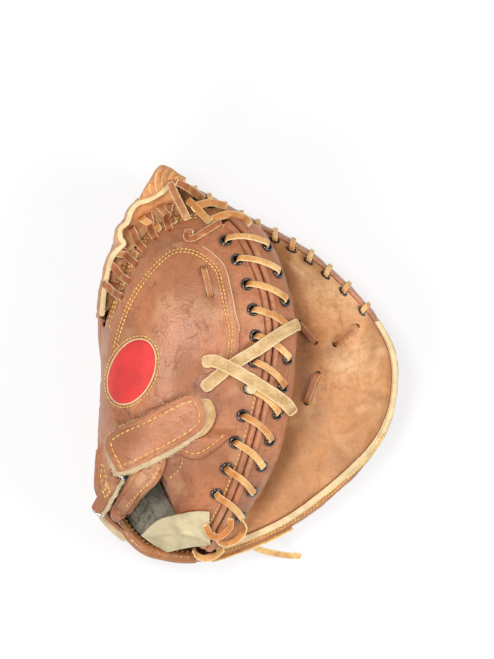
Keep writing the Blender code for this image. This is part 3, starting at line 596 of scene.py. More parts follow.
def tone(obj, worn, painted_shade):
    """Rubs a piece pale at the worn spots, and darkens it with painted shade at the shaded spots."""
    xy = get_points(obj)[:, :2] / MM
    set_mask(obj, "worn", blots(xy, worn))
    set_mask(obj, "painted_shade", blots(xy, painted_shade))


BAND_SIDES = 16
# A band wider than this many times its thickness is a flat thong, with pale cut sides
FLAT_FROM = 1.5
CUT_SIDES = (0.72, 0.98)


def band(
    name, path, across, width, thickness, finishes, closed=False, tips=(1.0, 1.0), rough=0.04, seed=1,
    worn=0.0,
):
    """A lace, tie or tube along a path. Tips are the shares of the width left at its ends.

    Worn is how far the grain has faded, for the whole path or for each of its points.
    """
    path = np.asarray(path, float)
    across = np.broadcast_to(np.asarray(across, float), path.shape)
    if closed:
        path, across = np.vstack([path, path[:1]]), np.vstack([across, across[:1]])
    obj, turn, run = new_grid(name, BAND_SIDES, len(path) - 1)
    step = np.rint(run * (len(path) - 1)).astype(int)
    across, up = frame_along(path, across, closed)
    flat = width > FLAT_FROM * thickness
    square = 0.5 if flat else 1.0
    turn = turn * 2 * math.pi
    wide = np.sign(np.cos(turn)) * np.abs(np.cos(turn)) ** square
    tall = np.sign(np.sin(turn)) * np.abs(np.sin(turn)) ** (0.5 + square / 2)
    length = run_along(path)
    half = 1 + rough * ripple(np.column_stack([length, length * 0]), 6.0, seed)
    if closed:
        half[-1] = half[0]
    else:
        for tip, distance in zip(tips, (length, length[-1] - length)):
            rest = 1 - np.clip(distance / (width / 2), 0, 1)
            half = half * (tip + (1 - tip) * np.sqrt(1 - rest**2))
    half = (half * width / 2)[step, None]
    aside = across[step] * half * wide[:, None]
    set_points(obj, path[step] + aside + up[step] * tall[:, None] * thickness / 2)
    pale = ease(np.abs(wide), *CUT_SIDES) if flat else np.zeros(len(wide))
    if not closed:
        pale[(step == 0) | (step == len(path) - 1)] = 1.0
    set_mask(obj, "edge", pale)
    set_mask(obj, "worn", np.broadcast_to(np.asarray(worn, float), (len(path),))[step])
    face_outwards(obj, rolled_up=True)
    return finish_mesh(obj, finishes)


def thread_template():
    """One stitch about the origin, along X, as points and faces."""
    bpy.ops.object.select_all(action="DESELECT")
    bpy.ops.mesh.primitive_uv_sphere_add(segments=6, ring_count=5, radius=1)
    ball = bpy.context.object
    points = np.array([vertex.co[:] for vertex in ball.data.vertices])
    faces = [tuple(face.vertices) for face in ball.data.polygons]
    bpy.data.objects.remove(ball, do_unlink=True)
    return points, faces


# A stitch's rise over the surface, slant, sag at its ends, and how far either way it looks for its direction
STITCH_RISE = 0.3
STITCH_LEAN = 0.09
STITCH_DIP = 0.55
STITCH_SIGHT = 0.8


def stitches(name, rows, length=None, pitch=None, width=None):
    """Rows of stitches as one piece. Each row is a line of points with the surface's normal at each."""
    length = length or stock("stitch")
    pitch = pitch or stock("stitch_pitch")
    width = width or stock("thread")
    ball, faces = thread_template()
    ball = ball[:, [2, 1, 0]] * np.array([1, 1, -1])
    points, loops = [], []
    for line, normals in rows:
        line, normals = np.asarray(line, float), np.asarray(normals, float)
        run = run_along(line)
        for at in np.arange(pitch / 2, run[-1] - pitch / 3, pitch):
            place, ahead, behind = (
                np.array([np.interp(spot, run, column) for column in line.T])
                for spot in (at, at + STITCH_SIGHT, at - STITCH_SIGHT)
            )
            up = unit([np.interp(at, run, column) for column in normals.T])
            way = unit(ahead - behind)
            side = unit(np.cross(up, way))
            lean = way * math.cos(STITCH_LEAN) + side * math.sin(STITCH_LEAN)
            body = ball * np.array([length, width, width]) / 2
            body[:, 2] -= STITCH_DIP * width * (ball[:, 0] ** 2)
            first = len(points) * len(ball)
            points.append(place + up * STITCH_RISE + body @ np.stack([lean, side, up]))
            loops += [tuple(first + corner for corner in face) for face in faces]
    return mesh_object(name, np.vstack(points), loops, ["thread"])


# A fibre's rings: share of its length, and radius
FIBRE_RINGS = ((0.0, 0.16), (0.5, 0.12), (1.0, 0.05))


def fibres(name, line, outward, finish, count, reach, seed, girth=1.0):
    """Short loose fibres along a raw edge, each a bent, tapered strand."""
    rng = np.random.default_rng(seed)
    corners = np.array([(1, 0), (-0.5, 0.87), (-0.5, -0.87)])
    points, faces = [], []
    for share in rng.uniform(0, 1, count):
        root = along_line(line, share)
        out = along_line(outward, share) + rng.normal(0, 0.55, 3)
        long = reach * rng.uniform(0.4, 1.0)
        bend = rng.normal(0, 0.35, 3) * long
        first = len(points)
        side = unit(np.cross(out, [0.3, 0.2, 1.0]))
        up = unit(np.cross(side, out))
        for step, thick in FIBRE_RINGS:
            spot = root + unit(out) * long * step + bend * step**2
            points += [spot + girth * thick * (a * side + b * up) for a, b in corners]
        for ring in (first, first + 3):
            for k, turn in ((0, 1), (1, 2), (2, 0)):
                faces.append((ring + k, ring + turn, ring + 3 + turn, ring + 3 + k))
        faces += [(first + 2, first + 1, first), (first + 6, first + 7, first + 8)]
    return mesh_object(name, points, faces, [finish])


# Materials

class Nodes:
    """Adds nodes to a node tree. An input given as a socket is linked, and any other value is set."""

    def __init__(self, tree):
        self.tree = tree

    def add(self, kind, inputs=None, **settings):
        node = self.tree.nodes.new(kind)
        for setting, value in settings.items():
            setattr(node, setting, value)
        for key, value in (inputs or {}).items():
            if isinstance(value, bpy.types.NodeSocket):
                self.tree.links.new(value, node.inputs[key])
            else:
                node.inputs[key].default_value = value
        return node

    def link(self, value, socket):
        self.tree.links.new(value, socket)

    def attribute(self, name):
        return self.add("ShaderNodeAttribute", attribute_name=name).outputs["Fac"]

    def group(self, name, inputs):
        return self.add("ShaderNodeGroup", inputs, node_tree=bpy.data.node_groups[name]).outputs

    def noise(self, vector, scale, detail=3.0, distortion=0.0):
        inputs = {"Vector": vector, "Scale": scale, "Detail": detail, "Distortion": distortion}
        return self.add("ShaderNodeTexNoise", inputs).outputs["Fac"]

    def span(self, value, low, high, out_low=0.0, out_high=1.0):
        inputs = {"Value": value, "From Min": low, "From Max": high, "To Min": out_low, "To Max": out_high}
        return self.add("ShaderNodeMapRange", inputs, interpolation_type="SMOOTHSTEP").outputs["Result"]

    def maths(self, operation, first, second=0.0):
        return self.add("ShaderNodeMath", {0: first, 1: second}, operation=operation).outputs[0]

    def times(self, first, second):
        return self.maths("MULTIPLY", first, second)

    def plus(self, first, second):
        return self.maths("ADD", first, second)

    def mix(self, factor, first, second):
        inputs = {"Factor": factor, 6: first, 7: second}
        return self.add("ShaderNodeMix", inputs, data_type="RGBA").outputs[2]

    def scaled(self, vector, scale):
        return self.add("ShaderNodeVectorMath", {0: vector, 1: scale}, operation="MULTIPLY").outputs[0]


def new_group(name, inputs, outputs):
    """An empty node group with its sockets, as its nodes, its inputs and its output node."""
    group = bpy.data.node_groups.new(name, "ShaderNodeTree")
    for label, kind, default in inputs:
        socket = group.interface.new_socket(name=label, in_out="INPUT", socket_type=f"NodeSocket{kind}")
        if default is not None:
            socket.default_value = default
    for label, kind in outputs:
        group.interface.new_socket(name=label, in_out="OUTPUT", socket_type=f"NodeSocket{kind}")
    nodes = Nodes(group)
    entry = nodes.add("NodeGroupInput")
    return nodes, entry.outputs, nodes.add("NodeGroupOutput").inputs


def grain_group():
    """Pebbled grain with fine creases: a height, and how deep a point lies in a crease."""
    nodes, take, give = new_group(
        "Leather Grain",
        [("Vector", "Vector", None), ("Pebble", "Float", 700.0),
         ("Wrinkle", "Float", 0.5)],
        [("Height", "Float"), ("Crevice", "Float")],
    )
    bent = nodes.noise(take["Vector"], 90.0, 2.0)
    cells = nodes.add(
        "ShaderNodeTexVoronoi", {"Vector": take["Vector"], "Scale": take["Pebble"], "Randomness": 1.0},
        feature="SMOOTH_F1",
    ).outputs["Distance"]
    pebble = nodes.span(cells, 0.15, 0.75, 1.0, 0.0)
    folds = nodes.noise(take["Vector"], 60.0, 6.0, 0.7)
    crease = nodes.maths("ABSOLUTE", nodes.maths("SUBTRACT", folds, 0.5))
    crease = nodes.span(crease, 0.0, 0.035, 1.0, 0.0)
    crease = nodes.times(crease, nodes.span(bent, 0.42, 0.68))
    crease = nodes.times(crease, take["Wrinkle"])
    soft = nodes.noise(take["Vector"], 260.0, 4.0)
    height = nodes.times(pebble, 0.35)
    height = nodes.plus(height, nodes.times(soft, 0.5))
    height = nodes.maths("SUBTRACT", height, crease)
    nodes.link(height, give["Height"])
    nodes.link(crease, give["Crevice"])
    return nodes.tree


def patina_group():
    """Handled colour: broad light and dark clouds, rubbed spots and fine scuffs."""
    nodes, take, give = new_group(
        "Patina",
        [("Vector", "Vector", None), ("Base", "Color", None),
         ("Dark", "Color", None), ("Rubbed", "Color", None),
         ("Wear", "Float", 0.4), ("Scuffs", "Float", 0.4)],
        [("Color", "Color"), ("Rub", "Float")],
    )
    clouds = nodes.noise(take["Vector"], 16.0, 4.0, 0.4)
    shade = nodes.mix(nodes.span(clouds, 0.38, 0.7), take["Base"], take["Dark"])
    mottle = nodes.span(nodes.noise(take["Vector"], 240.0, 6.0, 0.3), 0.42, 0.68, 0.0, 0.5)
    shade = nodes.mix(mottle, shade, take["Dark"])
    spots = nodes.noise(take["Vector"], 34.0, 7.0, 0.6)
    rubbed = nodes.times(nodes.span(spots, 0.52, 0.7), take["Wear"])
    shade = nodes.mix(rubbed, shade, take["Rubbed"])
    stretched = nodes.scaled(take["Vector"], (70.0, 420.0, 300.0))
    lines = nodes.noise(stretched, 1.0, 3.0, 1.2)
    turned = nodes.scaled(take["Vector"], (520.0, 60.0, 260.0))
    cross = nodes.noise(turned, 1.0, 3.0, 1.6)
    scuff = nodes.maths("MAXIMUM", nodes.span(lines, 0.66, 0.72), nodes.span(cross, 0.67, 0.73))
    scuff = nodes.times(scuff, take["Scuffs"])
    scuff = nodes.times(scuff, nodes.span(clouds, 0.35, 0.6, 1.0, 0.25))
    nodes.link(nodes.mix(scuff, shade, take["Rubbed"]), give["Color"])
    nodes.link(nodes.maths("MAXIMUM", rubbed, scuff), give["Rub"])
    return nodes.tree


def nap_group():
    """Short nap: a fine rough height and a blotchy tone from 0 to 1."""
    nodes, take, give = new_group(
        "Nap",
        [("Vector", "Vector", None), ("Scale", "Float", 1200.0)],
        [("Height", "Float"), ("Tone", "Float")],
    )
    fine = nodes.noise(take["Vector"], take["Scale"], 4.0)
    broad = nodes.noise(take["Vector"], 110.0, 5.0)
    nodes.link(nodes.plus(fine, nodes.times(broad, 0.6)), give["Height"])
    tone = nodes.plus(nodes.times(fine, 0.45), nodes.times(broad, 0.55))
    nodes.link(nodes.span(tone, 0.36, 0.64), give["Tone"])
    return nodes.tree


def mixed(colour, other, share):
    return tuple(a + (b - a) * share for a, b in zip(colour, other))


def shade(colour, amount):
    """A colour made lighter or darker by a factor."""
    return (*[min(1.0, channel * amount) for channel in colour[:3]], 1.0)


def new_material(name, roughness, **constants):
    """A material with its shader, as its nodes and the shader's inputs."""
    material = bpy.data.materials.new(name)
    material.use_nodes = True
    shader = material.node_tree.nodes["Principled BSDF"]
    shader.inputs["Roughness"].default_value = roughness
    for key, value in constants.items():
        shader.inputs[key.replace("_", " ")].default_value = value
    return material, Nodes(material.node_tree), shader.inputs


def bump(nodes, target, height, distance, strength=1.0):
    inputs = {"Height": height, "Distance": distance * MM, "Strength": strength}
    nodes.link(nodes.add("ShaderNodeBump", inputs).outputs["Normal"], target["Normal"])


def place_of(nodes):
    return nodes.add("ShaderNodeTexCoord").outputs["Object"]


def mask(nodes, attribute, place, scale):
    """A piece's own mask, broken up by noise. It is nothing where the piece has none."""
    value = nodes.attribute(attribute)
    broken = nodes.span(nodes.noise(place, scale, 5.0, 0.5), 0.25, 0.62, 0.7, 1.0)
    return nodes.times(value, broken)


# Colours that the masks, the cut edges, the weave and the backing mix in; the dark brown is painted shade
PAINTED_SHADE_BROWN = (0.25, 0.07, 0.03, 1.0)
CUT_CREAM = (1.0, 0.9, 0.62, 1.0)
WEAVE_RED = (1.0, 0.3, 0.25, 1.0)
BACKING_GREY = (0.62, 0.55, 0.4, 1.0)


def leather_material(name, base, dark, rubbed, wear, scuffs, roughness, wrinkle, gloss=0.3):
    """Grained leather. A piece's worn mask rubs it pale, and its shade mask darkens it as painted shade."""
    material, nodes, shader = new_material(name, roughness, Specular_IOR_Level=gloss)
    place = place_of(nodes)
    # Painted shade: where the shade mask says, the colour goes towards a dark brown.
    shadow = shade(mixed(dark, PAINTED_SHADE_BROWN, 0.45), 0.8)
    base = nodes.mix(mask(nodes, "painted_shade", place, 40.0), base, shadow)
    base = nodes.mix(mask(nodes, "worn", place, 70.0), base, rubbed)
    worn = nodes.group(
        "Patina",
        {"Vector": place, "Base": base, "Dark": dark, "Rubbed": rubbed, "Wear": wear, "Scuffs": scuffs},
    )
    grain = nodes.group("Leather Grain", {"Vector": place, "Wrinkle": wrinkle})
    # Painted shade: the grain's creases are darkened in colour.
    painted_shade = nodes.times(grain["Crevice"], 0.55)
    nodes.link(nodes.mix(painted_shade, worn["Color"], shade(dark, 0.55)), shader["Base Color"])
    rough = nodes.plus(nodes.times(worn["Rub"], 0.16), roughness)
    nodes.link(rough, shader["Roughness"])
    bump(nodes, shader, grain["Height"], 0.5, 0.65)
    return material


def nap_material(name, colour, pale, scale, distance, attribute=None):
    """Suede, felt, raw edges or cloth pile. An attribute's value brings in the pale colour."""
    material, nodes, shader = new_material(name, 0.92, Specular_IOR_Level=0.15)
    nap = nodes.group("Nap", {"Vector": place_of(nodes), "Scale": scale})
    tone = nodes.mix(nap["Tone"], shade(colour, 0.82), mixed(colour, pale, 0.45))
    if attribute:
        edge = nodes.attribute(attribute)
        tone = nodes.mix(edge, tone, pale)
    nodes.link(tone, shader["Base Color"])
    bump(nodes, shader, nap["Height"], distance, 0.8)
    return material


def rawhide_material(name, colour):
    """Lace: a grain side that fades where the "worn" mask says, with pale cut edges."""
    pale = paint("faded")
    material, nodes, shader = new_material(name, 0.48, Specular_IOR_Level=0.35)
    place = place_of(nodes)
    grain = nodes.group("Leather Grain", {"Vector": place, "Pebble": 1100.0, "Wrinkle": 0.8})
    base = nodes.mix(mask(nodes, "worn", place, 160.0), colour, pale)
    worn = nodes.group(
        "Patina",
        {"Vector": nodes.scaled(place, (3.0, 3.0, 3.0)), "Base": base, "Dark": shade(colour, 0.75),
         "Rubbed": mixed(colour, pale, 0.6), "Wear": 0.4, "Scuffs": 0.3},
    )
    edge = nodes.attribute("edge")
    edge = nodes.times(edge, nodes.span(nodes.noise(place, 500.0), 0.3, 0.6, 0.35, 1.0))
    tone = nodes.mix(edge, worn["Color"], mixed(pale, CUT_CREAM, 0.45))
    nodes.link(tone, shader["Base Color"])
    bump(nodes, shader, grain["Height"], 0.25, 0.6)
    return material


def patch_material():
    """Plain red cloth with a fine weave."""
    material, nodes, shader = new_material("patch_red", 0.55, Specular_IOR_Level=0.35)
    place = place_of(nodes)
    rows = nodes.add("ShaderNodeTexWave", {"Vector": place, "Scale": 420.0, "Distortion": 1.5}).outputs["Fac"]
    clouds = nodes.span(nodes.noise(place, 70.0, 5.0), 0.35, 0.7)
    tone = nodes.mix(clouds, paint("patch"), shade(paint("patch"), 0.8))
    tone = nodes.mix(nodes.times(rows, 0.12), tone, WEAVE_RED)
    nodes.link(tone, shader["Base Color"])
    bump(nodes, shader, rows, 0.12, 0.5)
    return material


def cloth_material():
    """Woven tag cloth with soft grey stains."""
    material, nodes, shader = new_material("tag_cloth_woven", 0.8, Specular_IOR_Level=0.2)
    place = place_of(nodes)
    weave = {"Vector": place, "Scale": 380.0}
    threads = nodes.plus(*(
        nodes.add("ShaderNodeTexWave", weave, bands_direction=way).outputs["Fac"] for way in ("X", "Y")
    ))
    stain = nodes.span(nodes.noise(place, 60.0, 5.0, 0.5), 0.42, 0.75, 0.0, 0.55)
    tone = nodes.mix(stain, paint("cloth"), shade(paint("cloth"), 0.55))
    nodes.link(tone, shader["Base Color"])
    bump(nodes, shader, threads, 0.08, 0.6)
    return material


def thread_material():
    material, nodes, shader = new_material("waxed_thread", 0.5)
    tone = nodes.span(nodes.noise(place_of(nodes), 180.0, 3.0), 0.35, 0.65)
    tone = nodes.mix(tone, shade(paint("thread"), 0.78), shade(paint("thread"), 1.15))
    nodes.link(tone, shader["Base Color"])
    return material


def metal_material(name, colour, roughness, metallic, coat):
    material, nodes, shader = new_material(name, roughness, Metallic=metallic, Coat_Weight=coat)
    scratch = nodes.span(nodes.noise(place_of(nodes), 700.0, 4.0), 0.5, 0.75)
    nodes.link(nodes.mix(scratch, colour, shade(colour, 1.2)), shader["Base Color"])
    rough = nodes.plus(nodes.times(scratch, 0.12), roughness)
    nodes.link(rough, shader["Roughness"])
    return material


def make_materials():
    """Every material of the mitt, by a short name."""
    grain_group()
    patina_group()
    nap_group()
    brown, tan, roll, pale = paint("brown"), paint("tan"), paint("roll"), paint("cut_edge")
    suede, felt, fleece = paint("suede"), paint("felt"), paint("fleece")
    backing = mixed(suede, BACKING_GREY, 0.6)
    return {
        "brown": leather_material(
            "leather_brown", brown, shade(brown, 0.64), mixed(brown, pale, 0.4), 0.38, 0.45, 0.36, 0.8, 0.4
        ),
        "tan": leather_material(
            "leather_tan", tan, shade(tan, 0.62), shade(mixed(tan, pale, 0.45), 1.13), 0.62, 0.6, 0.42, 0.4
        ),
        "roll": leather_material(
            "leather_roll", roll, shade(roll, 0.75), shade(tan, 1.1), 0.35, 0.5, 0.2, 0.6, 0.6
        ),
        "edge": nap_material("raw_edge", pale, shade(pale, 1.2), 1500.0, 0.3),
        "flesh": nap_material("flesh_side", shade(pale, 0.85), pale, 1100.0, 0.3),
        "suede": nap_material("suede_nap", suede, shade(pale, 1.15), 900.0, 0.35, "edge"),
        "binding": nap_material("binding_suede", shade(pale, 1.05), shade(pale, 1.25), 1300.0, 0.25),
        "backing": nap_material("backing_suede", backing, pale, 900.0, 0.5),
        # Painted shade: the felt is dark so that the holes read as shaded.
        "felt": nap_material("wool_felt", felt, shade(felt, 1.15), 700.0, 0.4),
        "fleece": nap_material("wool_fleece", fleece, shade(fleece, 2.6), 420.0, 1.2, "edge"),
        "strands": nap_material("fleece_strands", shade(fleece, 1.8), shade(fleece, 2.6), 900.0, 0.2),
        "rawhide": rawhide_material("rawhide_lace", paint("rawhide")),
        "dark_rawhide": rawhide_material("rawhide_dark", paint("dark_rawhide")),
        "patch": patch_material(),
        "cloth": cloth_material(),
        "thread": thread_material(),
        "enamel": metal_material("enamel_black", paint("enamel"), 0.1, 0.0, 1.0),
        "nickel": metal_material("nickel_plate", paint("nickel"), 0.16, 1.0, 0.0),
    }


MATERIALS = {}


def material_for(name):
    if not MATERIALS:
        MATERIALS.update(make_materials())
    return MATERIALS[name]


# A sheet of leather: its grain side, its raw edges and its flesh side
BROWN = ("brown", "edge", "flesh")
TAN = ("tan", "edge", "flesh")


# Placing pieces on the frame

def attach(obj, body, slot, *nodes):
    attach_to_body(obj, body)
    if nodes:
        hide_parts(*nodes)
    return obj


def attach_bending(obj, start, end, slot, *nodes):
    """Bakes the piece's place into its mesh, and hides the parts that it stands for. Start and end are not
    used.
    """
    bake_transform(obj)
    if nodes:
        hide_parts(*nodes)
    return obj


def sew(name, rows, body, *sizes):
    """Rows of stitches on a body. The sizes are a stitch's length, pitch and width."""
    return attach(stitches(name, rows, *sizes), body, "suede")


def disc(name, outline, centre, surface, lift, steps, thickness, finishes, **details):
    """A sheet cut to an outline and laid over a surface."""
    shape = disc_shape(outline, centre, surface, lift)
    return sheet(name, shape, steps, steps, thickness, UP, finishes, **details)


def thong(name, path, across, width=None, finish="rawhide", **details):
    """A flat lace of the stock thickness, and of the stock width unless one is given."""
    width = width or stock("lace_width")
    return band(name, path, across, width, stock("lace_thickness"), [finish], **details)


def grid_shape(points):
    """A shape for a sheet from rows of points, read evenly along and across."""
    points = np.asarray(points, float)
    rows, columns = points.shape[:2]

    def shape(across, along):
        column = across * (columns - 1)
        row = along * (rows - 1)
        c, r = np.minimum(column.astype(int), columns - 2), np.minimum(row.astype(int), rows - 2)
        c_share, r_share = (column - c)[:, None], (row - r)[:, None]
        near = points[r, c] * (1 - c_share) + points[r, c + 1] * c_share
        far = points[r + 1, c] * (1 - c_share) + points[r + 1, c + 1] * c_share
        return near * (1 - r_share) + far * r_share

    return shape


def smooth_rows(points, columns):
    """Each row of points drawn as a smooth curve with the given number of points."""
    return np.array([smooth(row, columns) for row in points])


def row_on(surface, xy, lift):
    """A stitch row over a surface: its places and the normals there."""
    xy = np.asarray(xy, float)
    return placed(surface, xy, np.full(len(xy), lift)), surface_normal(surface, xy)


def inset_loop(outline, inset, count=260):
    """A smooth closed outline moved inwards."""
    loop = smooth(outline, count, closed=True)
    way = unit(np.roll(loop, -1, axis=0) - np.roll(loop, 1, axis=0))
    area = np.sum(loop[:, 0] * np.roll(loop[:, 1], -1) - loop[:, 1] * np.roll(loop[:, 0], -1))
    inward = np.column_stack([-way[:, 1], way[:, 0]]) * np.sign(area)
    return loop + inward * inset


def part_of(loop, start, end):
    """The stretch of a closed loop between the points nearest to two places, in the loop's own direction."""
    first = int(np.argmin(np.linalg.norm(loop - np.array(start), axis=1)))
    last = int(np.argmin(np.linalg.norm(loop - np.array(end), axis=1)))
    if last <= first:
        last += len(loop)
    return loop[np.arange(first, last + 1) % len(loop)]


# The finger half

def wall_point(angle, out, height):
    """A point off the outside of the finger shell, at a share of the rim's height."""
    shares, heights = zip(*BACK_PROFILE)
    reach = FINGERS.radius(angle) * np.interp(height, heights[1:], shares[1:]) + out
    reach = reach + heel_swell(angle) * ease(height, 0.3, 0.9)
    return polar_point(angle, reach, finger_rim(angle) * height)


def shell_shape(across, along):
    """The outside of the finger shell, from the middle of its foot up to its rim."""
    angle, share = rounded_square(across, along)
    profile = smooth(BACK_PROFILE, 200)
    reach = np.interp(share, np.linspace(0, 1, 200), profile[:, 0])
    height = np.maximum(np.interp(share, np.linspace(0, 1, 200), profile[:, 1]), 0)
    points = np.column_stack([FINGERS.at(angle, reach), height * finger_rim(angle)])
    out = np.column_stack([np.cos(angle), np.sin(angle), angle * 0])
    wave = 0.9 * ripple(points, 26.0, 3) + 0.8 * creases(points, 30.0, 5)
    drawn = np.maximum(0.6 - wave, 0) * ease(height, 0.1, 0.4) * ease(1 - height, 0, 0.12)
    return points + out * (heel_swell(angle) * ease(height, 0.3, 0.9) - drawn)[:, None]


# One turn of the whip lace over the rim: distance out, height over the rim, and share of the pitch
WHIP_TURN = [
    (3.4, -9.5, 0.0), (2.6, -3.0, 0.0), (0.6, 1.9, -0.02), (-2.4, 2.3, -0.06), (-5.2, 0.8, -0.1),
    (-5.2, -7.0, -0.1), (-4.6, -10.6, 0.25), (-1.5, -9.8, 0.95),
]
WHIP_TURNS = 11
TOE_LACE_WIDTH = 4.3
SHELL_SEWN_AT = (0.4, 0.46)
# Holes: radius, depth and, where they are oval, how narrow they are
WHIP_HOLE = (3.0, 12)
TOE_HOLE = (3.5, 14, 0.5)
PALM_TIE_HOLE = (2.5, 12)


def whip_angle(turn):
    """The angle of a wrap round the rim. The wraps stand closer towards the web."""
    return math.radians(27.3 + 11.6 * turn - 0.4 * turn**2)


def build_shell():
    angles = [whip_angle(turn - 0.02) for turn in range(WHIP_TURNS)]
    places = [rim_point(angle, 2.0, -9.6) for angle in angles]
    outward = [(math.cos(angle), math.sin(angle), 0) for angle in angles]
    shell = sheet(
        "finger_shell", shell_shape, 150, 150, 2.8, DOWN, BROWN,
        holes=(places, outward, *WHIP_HOLE),
    )
    attach(shell, "finger_half", "brown_leather", "finger_back")
    turns = np.radians(np.linspace(0, 360, 260))
    rows = []
    for height in SHELL_SEWN_AT:
        line = wall_point(turns, 0.15, height)
        rows.append((line, np.column_stack([np.cos(turns), np.sin(turns), turns * 0])))
    sew("shell_stitching", rows, "finger_half")


PALM_TIES = [((73, 17), (90, 31)), ((50, -30), (59, -7)), ((44, 34), (57, 19))]
PALM_TIE_NODES = ("palm_tie_a", "palm_tie_b", "palm_tie_c")


def palm_places(rows, columns, crease_margin, rim_margin):
    """Places on the palm in rows from the crease to the rim, from heel to toe."""
    start = smooth(CREASE, rows)
    angles = np.radians(np.linspace(-100, 109, rows))
    end = rim_point(angles, 1.9 * ease(angles, math.radians(-40), 0) - rim_margin, 0)[:, :2]
    start = start + unit(end - start) * crease_margin
    return between(start, end, columns)


def palm_relief(xy):
    """The worn pocket: swells, folds round the rim, a valley, a ridge, and dents at the ties."""
    share = FINGERS.share(xy[..., 0], xy[..., 1])
    relief = 0.7 * ripple(xy, 38.0, 11) + 1.1 * creases(xy, 34.0, 7, (1.0, 0.6)) * ease(share, 0.45, 0.7)
    relief = relief - 1.6 * mound(xy, 50, 2, 8, 26)
    relief = relief + 1.8 * mound(xy, 70, 4, 10, 14)
    for ends in PALM_TIES:
        for end in ends:
            away = np.linalg.norm(xy - np.array(end), axis=-1)
            relief = relief - 1.6 * np.exp(-((away / 6.5) ** 2))
    return (relief - 0.5) * ease(1 - share, 0.02, 0.12)


# Rubbed places on the palm, and places darkened as painted shade: place, half length, half width, tilt and
# strength
PALM_WORN = [
    (92, 8, 27, 10, 25, 1.6), (62, 72, 48, 20, -38, 1.15), (106, -30, 9, 26, 8, 0.5),
    (64, -38, 13, 9, 35, 0.35), (66, -96, 12, 8, 40, 0.3),
]
# Painted shade, mostly beside the thumb's edge, where the thumb's shadow falls on the palm.
PALM_PAINTED_SHADE = [
    (48, 6, 10, 34, 0, 1.3), (68, 12, 12, 5, 30, 0.8), (22, -84, 34, 7, 58, 0.5), (84, 36, 8, 14, 30, 0.3),
]


def toe_hole(turn):
    """An eyelet of the whip lace in the palm: its place, the palm's normal and the way along the rim."""
    angle = whip_angle(turn - 0.1)
    x, y, _ = rim_point(angle, -5.4, 0)
    places, normals = spots_on(palm_height, np.array([[x, y]]))
    return places[0], normals[0], (-math.sin(angle), math.cos(angle), 0)


def build_palm():
    xy = palm_places(120, 150, 0.6, 5.0)
    points = lifted(palm_height, xy, palm_relief(xy))
    holes, normals, ways = zip(*[toe_hole(turn) for turn in range(WHIP_TURNS)])
    palm = sheet(
        "palm_leather", grid_shape(points), 149, 119, 2.5, UP, TAN,
        holes=(holes, normals, *TOE_HOLE, ways),
    )
    ends = np.array(PALM_TIES, float).reshape(-1, 2)
    spots = lifted(palm_height, ends, np.zeros(len(ends)))
    cut_holes(palm, spots, [UP] * len(ends), *PALM_TIE_HOLE)
    tone(palm, PALM_WORN, PALM_PAINTED_SHADE)
    attach(palm, "finger_half", "tan_leather", "finger_palm")
    rings = eyelet_template()
    for turn, (hole, normal, way) in enumerate(zip(holes, normals, ways), 1):
        ring = copy_piece(rings, f"toe_eyelet_{turn:02d}_ring")
        ring.data.transform(upright(hole, normal, way) @ Matrix.Diagonal((0.44, 0.92, 0.6, 1)))
        attach(ring, "finger_half", "black_enamel")
    bpy.data.objects.remove(rings, do_unlink=True)
    pad_xy = palm_places(60, 60, 11, 19)
    shape = grid_shape(lifted(palm_height, pad_xy, np.full((60, 60), -3.9)))
    pad = sheet("palm_felt", shape, 59, 59, 10.2, UP, ["felt"], edge=3.5)
    attach(pad, "finger_half", "pad_felt", "palm_pad")
    for node, ends in zip(PALM_TIE_NODES, PALM_TIES):
        tie = staple(f"{node}_lace", palm_height, ends, 0.0, 4.6)
        attach(tie, "finger_half", "rawhide", node)


STAPLE_ROUTE = [(0, -2.2), (0.02, 0.6), (0.15, 2.1), (0.5, 2.4), (0.85, 2.1), (0.98, 0.6), (1, -2.2)]


def staple(name, surface, ends, base, width):
    """A short lace that comes up through one hole and goes down through another."""
    start, end = np.array(ends, float)
    share, lift = smooth(np.array(STAPLE_ROUTE) * (20, 1), 40).T
    path = lifted(surface, start + (end - start) * (share / 20)[:, None], base + lift)
    side = (-(end - start)[1], (end - start)[0], 0)
    return band(name, path, side, width, 1.6, ["dark_rawhide"], worn=0.1)


# The rim binding from outside to inside: distance out, and height over the rim, then over the palm
BINDING_EDGE = [(1.5, -6.0), (2.1, -2.5), (1.7, 1.2), (0.2, 2.7), (-1.8, 3.0)]
BINDING_INSIDE = [(-3.4, 3.3), (-4.8, 3.2), (-6.2, 3.0), (-7.6, 2.7), (-8.6, 1.8)]
BINDING_SHIFT = 4.8


def binding_shift(angle):
    """How far the suede moves outwards from the heel to the side of the palm."""
    return BINDING_SHIFT * ease(angle, math.radians(-62), math.radians(-8))


def binding_grid(rows):
    angles = np.radians(np.linspace(-97, 20, rows))
    columns = [rim_point(angles, out, up) for out, up in BINDING_EDGE]
    for out, up in BINDING_INSIDE:
        place = rim_point(angles, out + binding_shift(angles) * (-out - 1.8) / 6.8, 0)
        place[:, 2] = palm_height(place[:, 0], place[:, 1]) + up
        columns.append(place)
    return np.stack(columns, 1)


